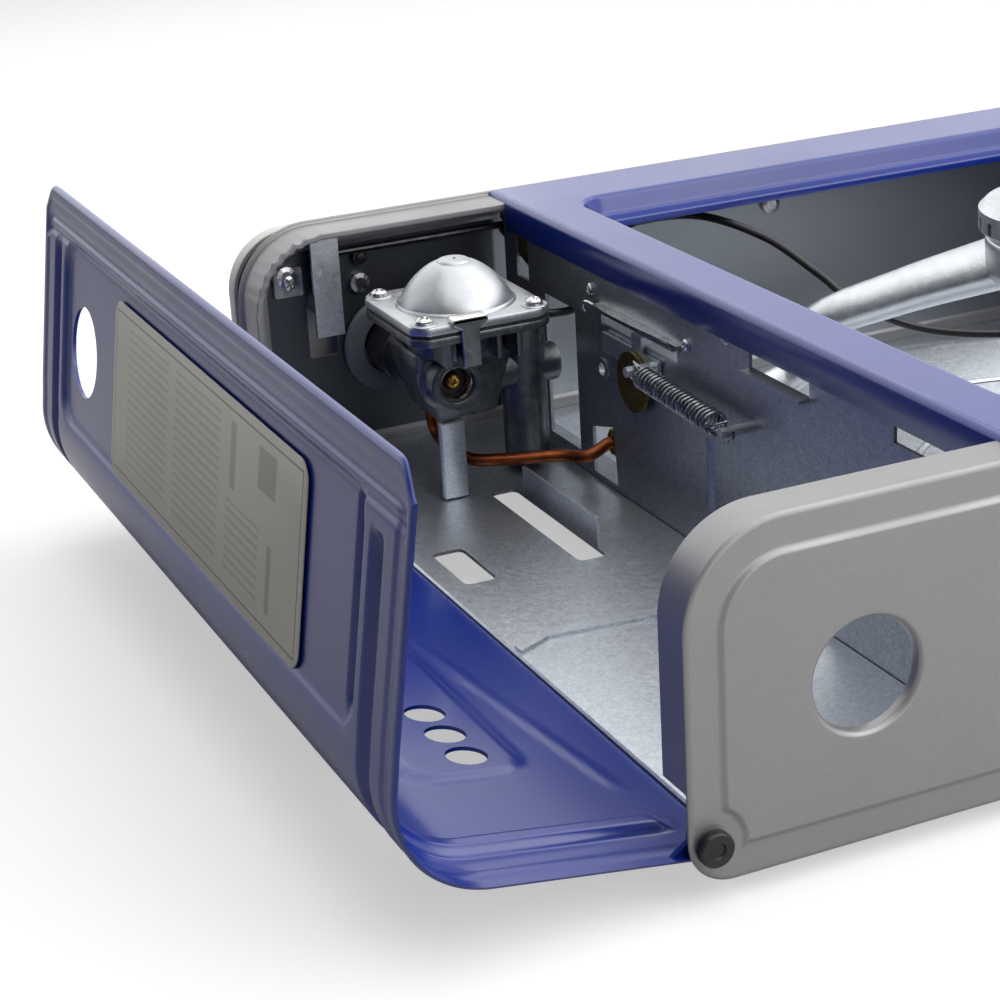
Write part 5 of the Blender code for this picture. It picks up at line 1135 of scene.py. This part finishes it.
# Fascia: hollow shell with the knob's hole, the lever's slot and screw bosses inside.
def makeFascia():
    s = fasciaSettings
    outline = roundedLoop(s["left"], s["right"], 0.0, s["high"], s["upper"], s["lower"], 20, 12)
    parts = [skin([upright(insetLoop(outline, inset), y) for inset, y in softened(s["rim"], 0.5, 4)])]
    holes = [circle(*s["knob"], 40), roundedLoop(*s["slot"], 3.0, 3.0, 8)]
    inner = insetLoop(outline, s["rim"][0][0])
    spots, triangles = flatFace([inner] + holes)
    faces = (s["face"], s["face"] + 1.2)
    parts += [(upright(spots, y), triangles.tolist()) for y in faces]
    parts += [skin([upright(hole, y) for y in faces]) for hole in holes]
    for x, z in s["bosses"]:
        parts.append(turned([(1.8, -153.2), (3.4, -153.2), (3.4, -145.0), (1.8, -145.0)], 32,
                            (x, 0, z), "y"))
    # thin ring round the knob, within the thickness of the shell's face
    pad = [(29.0, -154.0), (29.0, -153.9), (25.6, -153.9), (25.6, -154.0)]
    parts.append(turned(pad, 72, regulatorSettings["valve"], "y"))
    piece = makeMesh("fasciaShell", parts, greyEnamel, "body", sharp=50)
    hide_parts("front_fascia")


# Black band in the joint between fascia and panel, a thin band just inside the outline: painted shadow, a
# dark strip standing for the shade in that gap.
def makeJointShadeBand():
    s = fasciaSettings
    outline = roundedLoop(s["left"], s["right"], 0.0, s["high"], s["upper"], s["lower"], 20, 12)
    section = ((0.9, -147.1), (0.35, -146.9), (0.35, -144.5), (0.9, -144.3))
    seal = skin([upright(insetLoop(outline, inset), y) for inset, y in section])
    makeMesh("fasciaJointShadeBand", [seal], rubber, "body", sharp=50)


knobSettings = {"x": 121.0, "z": 38.0, "radius": 23.0, "back": -154.3, "length": 18.0,
                "flutes": 36, "fluteDepth": 0.35, "grip": 8.0, "gripHalf": 16.5}


# Knob: skirt with fine flutes, tapered hub and a grip bar. Radius = profile - flutes * depth.
def makeKnob():
    s = knobSettings
    back, front, radius = s["back"], s["back"] - s["length"], s["radius"]
    profile = softened([(0, back), (radius - 0.4, back), (radius, back - 0.5), (radius, back - 2.4),
                        (20.5, back - 4.2), (19.2, back - 6), (18.6, back - 15.4), (17.4, front),
                        (0, front)], 0.8, 4)
    angle = np.linspace(0, 2 * np.pi, 8 * s["flutes"], endpoint=False)
    r, y = profile[:, :1], profile[:, 1:]
    fluted = (r > 17) & (r < 19.8)
    r = r - fluted * s["fluteDepth"] * (0.5 - 0.5 * np.cos(s["flutes"] * angle)) ** 3
    points = np.stack([s["x"] + r * np.cos(angle), np.broadcast_to(y, r.shape),
                       s["z"] + r * np.sin(angle)], -1).reshape(-1, 3)
    body = (points, gridFaces(len(profile), len(angle), closeColumns=True).tolist())
    bar = roundedLoop(s["x"] - s["grip"] / 2, s["x"] + s["grip"] / 2, s["z"] - s["gripHalf"],
                      s["z"] + s["gripHalf"], 3.9, 3.9, 10)
    section = ((-0.8, 1.0), (-0.5, 0.2), (0, -0.2), (0.3, -1.1), (0.8, -1.6), (1.6, -1.8))
    grip = lofted([upright(insetLoop(bar, inset), front + depth) for inset, depth in section])
    piece = makeMesh("knobMoulding", [body, grip], blackPlastic, "knob", sharp=40)
    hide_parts("knob")
    mark = softBox((s["x"] - 0.6, front - 1.98, s["z"] + 6),
                   (s["x"] + 0.6, front - 1.7, s["z"] + 15), 0.1)
    makeMesh("knobPointerLine", [mark], whitePaint, "knob")


leverSettings = {  # sections as (y, low, high, inset at each side)
    "left": 150.5, "right": 163.5, "corner": 1.2,
    "sections": ((-154.3, 51.5, 60.5, 0.0), (-155.2, 51.7, 60.5, 0.0), (-161.5, 52.3, 60.4, 0.1),
                 (-164.6, 52.6, 59.2, 0.3), (-165.9, 53.2, 58.2, 0.8), (-166.3, 54.0, 57.4, 1.5)),
}


# Lever: a tapered paddle with ribs across its upper face.
def makeLever():
    s = leverSettings
    rings = [upright(roundedLoop(s["left"] + inset, s["right"] - inset, low, high, s["corner"],
                                 s["corner"], 5), y) for y, low, high, inset in s["sections"]]
    ribs = [softBox((152.2, -156.9 - k * 1.7, 59.9), (161.8, -156.1 - k * 1.7, 60.9), 0.25)
            for k in range(3)]
    piece = makeMesh("lockLeverMoulding", [lofted(rings)] + ribs, blackPlastic, "lever", sharp=40)
    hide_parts("lock_lever")


igniterSettings = {  # profiles as (radius, distance along the axis)
    "housing": [(0, -118.9), (7.6, -118.9), (9, -120.2), (9, -124), (8.3, -124.6), (8.3, -128),
                (9, -128.6), (9, -141.0), (8.6, -141.5), (3.2, -141.5), (2.8, -141.0), (2.8, -124),
                (0, -124)],
    "boot": [(0, 49), (2.5, 49), (2.5, 52.6), (1.5, 54), (1.35, 55.5), (0, 55.5)],
    "bezel": [(9.1, -143.7), (15.6, -143.7), (16, -143.3), (16, -142.4), (14.6, -141.7), (9.6, -141.7),
              (9.1, -142.2), (9.1, -143.7)],
    "terminal": (2.1, 44, 51.0),
}


# Igniter round the valve's axis with its terminal and the lead's boot, and the knob's bezel.
def makeIgniter():
    s = igniterSettings
    axis, terminalX, terminalY = regulatorSettings["valve"], *leadSettings["start"][:2]
    unit = turned(s["housing"], 48, axis, "y")
    terminal = roundBar(*s["terminal"], (terminalX, terminalY, 0), "z", 20, 0.4)
    boot = turned(s["boot"], 24, (terminalX, terminalY, 0))
    piece = makeMesh("igniterHousing", [unit, terminal, boot], blackPlastic, "body", sharp=40)
    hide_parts("igniter_unit")
    bezel = turned(softened(s["bezel"], 0.3, 3), 64, axis, "y")
    piece = makeMesh("igniterCollar", [bezel], greyPlastic, "body", sharp=40)
    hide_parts("knob_bezel")


whitePaint = mouldedPlastic("whitePrintedMark", "#dcdcd8", "#d2d2ce", 0.5, 1500, 0.00002)

makeFascia()
makeJointShadeBand()
makeKnob()
makeLever()
makeIgniter()
print("fascia, knob, lever and igniter made")


# Burner, heat shield and feet

burnerSettings = {
    "x": -36.25, "bowl": ((0, 60), (12.5, 60), (14, 60.6), (24, 67), (25.6, 70), (26, 78.4), (25.6, 80),
                          (0, 80)),
    "pegs": 8,
    # mixing tube: its route, and its half width and half height as shares of the radius
    "route": [(70.8, -65, 20), (59.8, -65, 21), (21.75, -60.5, 32), (20.95, -49.4, 49.8),
              (0.15, -35.75, 60), (-23.25, -19.5, 69)], "radius": 5.76,
    "wide": (1.35, 0.95, 0.9, 1.15, 1.75, 2.2), "tall": (1.35, 0.95, 0.9, 1.0, 1.1, 1.3),
}


# Cast bowl and its mixing tube: ellipses carried along a smooth path, wide and tall by shares.
def makeBurner():
    s = burnerSettings
    x = s["x"]
    parts = [turned(softened(s["bowl"], 1.2, 4), 72, (x, 0, 0))]
    route = smoothPath(s["route"], 8)
    at = np.linspace(0, len(s["route"]) - 1, len(route))
    wide, tall = (np.interp(at, np.arange(len(s["route"])), s[k]) * s["radius"]
                  for k in ("wide", "tall"))
    ahead = np.gradient(route, axis=0)
    across = np.cross(ahead, (0, 0, 1))
    across /= np.linalg.norm(across, axis=1)[:, None]
    along = np.cross(across, ahead)
    along /= np.linalg.norm(along, axis=1)[:, None]
    angle = np.linspace(0, 2 * np.pi, 40, endpoint=False)
    ring = (route[:, None] + wide[:, None, None] * np.cos(angle)[None, :, None] * across[:, None]
            + tall[:, None, None] * np.sin(angle)[None, :, None] * along[:, None])
    bore = route[0] + (ring[0] - route[0]) * 0.72
    deep = bore - np.array([9.0, 0, 0])
    rings = [deep, bore, route[0] + (ring[0] - route[0]) * 0.8] + list(ring)
    parts.append(lofted(rings))
    for k in range(s["pegs"]):  # short pegs under the bowl
        a = 2 * math.pi * (k + 0.5) / s["pegs"]
        spot = (x + 17 * math.cos(a), 17 * math.sin(a), 0)
        parts.append(roundBar(1.2, 60.4, 66, spot, "z", 16, 0.3))
    piece = makeMesh("burnerCasting", parts, aluminiumCast, "body", sharp=40)
    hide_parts("burner_body")


shieldSettings = {
    "dish": [(19, 6.1), (31.5, 6.1), (89.5, 21.1), (92.6, 21.1), (93, 20.7), (92.6, 20.2), (90, 20.1),
             (32, 5.15), (19, 5.15), (19, 6.1)],
    "slope": 15 / 58, "rings": (45, 66),
}


# Heat shield: a shallow dish with raised rings, whose foot follows the slope of the dish.
def makeHeatShield():
    s = shieldSettings
    axis = (burnerSettings["x"], 0, 0)
    profile = softened(s["dish"], 1.6, 5)
    ribs = []
    for r in s["rings"]:
        low = s["dish"][1][1] + (r - s["dish"][1][0]) * s["slope"]
        ribs.append(turned([(r - 1.2, low), (r, low + 0.6), (r + 1.2, low + 0.3)], 96, axis))
    piece = makeMesh("heatShieldDish", [turned(profile, 128, axis)] + ribs, galvanised, "body")
    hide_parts("heat_shield")


feetSettings = {
    "spots": (("front_left", -145, -115), ("front_right", 145, -115), ("back_left", -145, 115),
              ("back_right", 145, 115)),
    "profile": [(0, -5), (6.0, -5), (6.4, -4.6), (7.4, -4.9), (8.3, -4), (8.5, 0)], "neck": 7.5,
}


# Turned rubber feet, as tall as the solids they stand for.
def makeFeet():
    s = feetSettings
    for name, x, y in s["spots"]:
        top = (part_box("foot_" + name)[1][2] - stoveOrigin[2]) * 1000
        profile = softened(s["profile"] + [(s["neck"], top), (0, top)], 0.4, 3)
        piece = makeMesh("rubberFoot" + name.title().replace("_", ""), [turned(profile, 40, (x, y, 0))],
                         rubber, "body", sharp=45)
        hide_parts("foot_" + name)


makeBurner()
makeHeatShield()
makeFeet()
print("burner, shield and feet made")


# Small parts inside the bay

pinSettings = {"pins": (("rear", 1, 4.2), ("front", -1, 3.3)), "shank": 2.2, "collar": 3.6,
               "collarEnds": (142.9, 141.3)}


# Hinge pins: a shank with a dished head outside the panel and a collar inside it.
def makePins():
    s = pinSettings
    shaft, collarOuter, collarInner = s["shank"], *s["collarEnds"]
    axis = (lidSettings["pin"][0], 0, lidSettings["pin"][1])
    for name, side, head in s["pins"]:
        low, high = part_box("hinge_pin_" + name)
        ends = (np.array([low[1], high[1]]) - stoveOrigin[1]) * 1000
        inner, outer = (ends[0], ends[1]) if side > 0 else (ends[1], ends[0])
        shank = [(head - 0.5, outer), (head - 0.1, outer - side * 0.4), (head, outer - side * 1.0),
                 (head, outer - side * 2.2), (shaft, outer - side * 2.4), (shaft, inner), (0, inner)]
        dish = [(0, outer - side * 0.5), (1.6, outer - side * 0.5), (1.9, outer)]
        collar = [(s["collar"], side * collarOuter), (s["collar"], side * collarInner),
                  (shaft, side * collarInner), (shaft, side * collarOuter)]
        piece = makeMesh("hingePin" + name.title(), [turned(dish + shank, 40, axis, "y"),
                                                     turned(collar + collar[:1], 32, axis, "y")],
                         blackPlastic, "body", sharp=40)
        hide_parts("hinge_pin_" + name)


lipSettings = {
    "wall": 83.1, "start": -69, "end": -18, "height": 62.6, "sections": 36, "hookRadius": 0.6,
    "hook": [(84.6, -68.5, 62.6), (85.6, -71.5, 63.1), (85.8, -73.4, 61.4), (85.2, -73.0, 59.6)],
    "screws": ((-73, 66), (-14, 64), (8, 72)),
}


# Tapered pressed lip over the partition's slit, ending in a small hook, and screws on the wall.
def makePartitionTrim():
    s = lipSettings
    wall, start, end, height = (s[k] for k in ("wall", "start", "end", "height"))
    rings = []
    for y in np.linspace(start, end, s["sections"]):
        t = (y - start) / (end - start)
        reach = wall + 1.4 + 2.6 * math.sin(math.pi * min(1, t * 1.1)) ** 0.7 * (1 - 0.5 * t)
        top = height + 0.5 * math.sin(math.pi * t)
        rings.append(np.array([(wall, y, top - 0.9), (reach, y, top - 0.3), (reach, y, top + 0.4),
                               (wall, y, top + 0.3)]))
    hook = tube(smoothPath(s["hook"], 6), s["hookRadius"], 10)
    makeMesh("slitLip", [lofted(rings), hook], steel, "body")
    for k, (y, z) in enumerate(s["screws"]):
        head = screwHead((wall - 0.05, y, z), 2.0, 1.1, "x", 0.4 + k)
        makeMesh("wallScrew" + "ABC"[k], [head], steel, "body", sharp=35)


frontSettings = {  # nut as left, right, low, high, corner; studs as x, z, radius
    "nut": (148.6, 158.4, 58.6, 68.4, 1.2), "nutDepth": (-143.9, -142.4),
    "screw": (153.5, -142.4, 63.5), "studs": ((129.5, 68.0, 2.6), (159.0, 70.4, 2.4)),
}


# Clip nut with its screw, and round plastic stops, on the front panel's inner face.
def makeFrontDetails():
    s = frontSettings
    nut = plate(rectangle(*s["nut"]), [], *s["nutDepth"], "xzy", 0.3)
    nut.append(screwHead(s["screw"], 2.4, 1.2, "y", 0.9))
    makeMesh("clipNut", nut, steel, "body", sharp=35)
    for k, (x, z, radius) in enumerate(s["studs"]):
        stud = [roundBar(radius, -144.0, -141.6, (x, 0, z), "y", 28, 0.6),
                roundBar(radius * 0.55, -141.8, -140.8, (x, 0, z), "y", 20, 0.3)]
        makeMesh("panelStud" + "AB"[k], stud, blackPlastic, "body", sharp=40)


# Print in mm from the label's corner, u down the lid and v along it: (u, u, v, v, darkness) each.
labelSettings = {
    "left": 95.5, "right": 143.5, "low": -66.5, "high": 84.5, "back": 82.62, "face": 83.0,
    "blocks": ((2.2, 45.8, 2.2, 148.8, 0.75), (2.7, 45.3, 2.7, 148.3, -0.75), (5, 15, 120, 132, 0.4),
               (5, 21, 100, 104, 0.4), (26, 42, 128, 131, 0.4)),
    "rows": ((5, 43, 14, 50, 0.28), (5, 43, 56, 92, 0.28), (24, 43, 98, 122, 0.28)),
    "rowsAMetre": 420.0, "rowShare": 0.42,
}


# Blank information plate on the lid: thin film with a bevelled rim, its print from flat coordinates.
def makeLabel():
    s = labelSettings
    outline = roundedLoop(s["left"], s["right"], s["low"], s["high"], 5, 5, 12, 4)
    parts = [skin([level(insetLoop(outline, inset), z)
                   for inset, z in ((0.0, s["back"]), (0.0, 82.85), (0.25, s["face"]))])]
    spots, triangles = flatFace([insetLoop(outline, 0.25)])
    parts += [(level(spots, z), triangles.tolist()) for z in (s["back"], s["face"])]
    flat = np.vstack([part[0][:, :2] for part in parts])
    parts = [(lidOpen(points), faces) for points, faces in parts]
    piece = makeMesh("blankLabel", parts, labelPrint, "lid", sharp=50,
                     uv=(flat - (s["left"], s["low"])) / 1000)
    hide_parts("lid_label")


# Sum of darkness times mask over rectangles; a mask is 1 where u and v both pass its four limits.
def printedShade(tree, u, v, rectangles):
    total = None
    for uLow, uHigh, vLow, vHigh, darkness in rectangles:
        mask = None
        for axis, kind, limit in ((u, "GREATER_THAN", uLow), (u, "LESS_THAN", uHigh),
                                  (v, "GREATER_THAN", vLow), (v, "LESS_THAN", vHigh)):
            passed = addNode(tree, "ShaderNodeMath", {"operation": kind, 1: limit / 1000}, {0: axis})
            mask = passed.outputs[0] if mask is None else addNode(
                tree, "ShaderNodeMath", {"operation": "MULTIPLY"},
                {0: mask, 1: passed.outputs[0]}).outputs[0]
        total = addNode(tree, "ShaderNodeMath", {"operation": "MULTIPLY_ADD", 1: darkness, 2: 0.0},
                        {0: mask} if total is None else {0: mask, 2: total}).outputs[0]
    return total


# Label film, satin: grey print on warm grey, rows of it as stripes across u.
def labelPrinted():
    s = labelSettings
    film, ink = "#bdbcb4", "#3a3a3c"
    material, tree, shader = makeFinish("printedLabelFilm", film, ink, 0.0, 0.42,
                                        grain=(300, 2, 0.5, 0.03, 0.0002))
    place = addNode(tree, "ShaderNodeUVMap").outputs[0]
    split = addNode(tree, "ShaderNodeSeparateXYZ", None, {0: place})
    u, v = split.outputs[0], split.outputs[1]
    count = addNode(tree, "ShaderNodeMath", {"operation": "MULTIPLY", 1: s["rowsAMetre"]}, {0: u})
    part = addNode(tree, "ShaderNodeMath", {"operation": "FRACT"}, {0: count.outputs[0]})
    row = addNode(tree, "ShaderNodeMath", {"operation": "LESS_THAN", 1: s["rowShare"]},
                  {0: part.outputs[0]})
    shade = addNode(tree, "ShaderNodeMath", {"operation": "MULTIPLY_ADD"},
                    {0: row.outputs[0], 1: printedShade(tree, u, v, s["rows"]),
                     2: printedShade(tree, u, v, s["blocks"])})
    mixed = addNode(tree, "ShaderNodeMix", {"data_type": "RGBA", 6: linear(film), 7: linear(ink)},
                    {0: shade.outputs[0]})
    tree.links.new(mixed.outputs[2], shader.inputs["Base Color"])
    return material


labelPrint = labelPrinted()

makePins()
makePartitionTrim()
makeFrontDetails()
makeLabel()
print("small parts made")
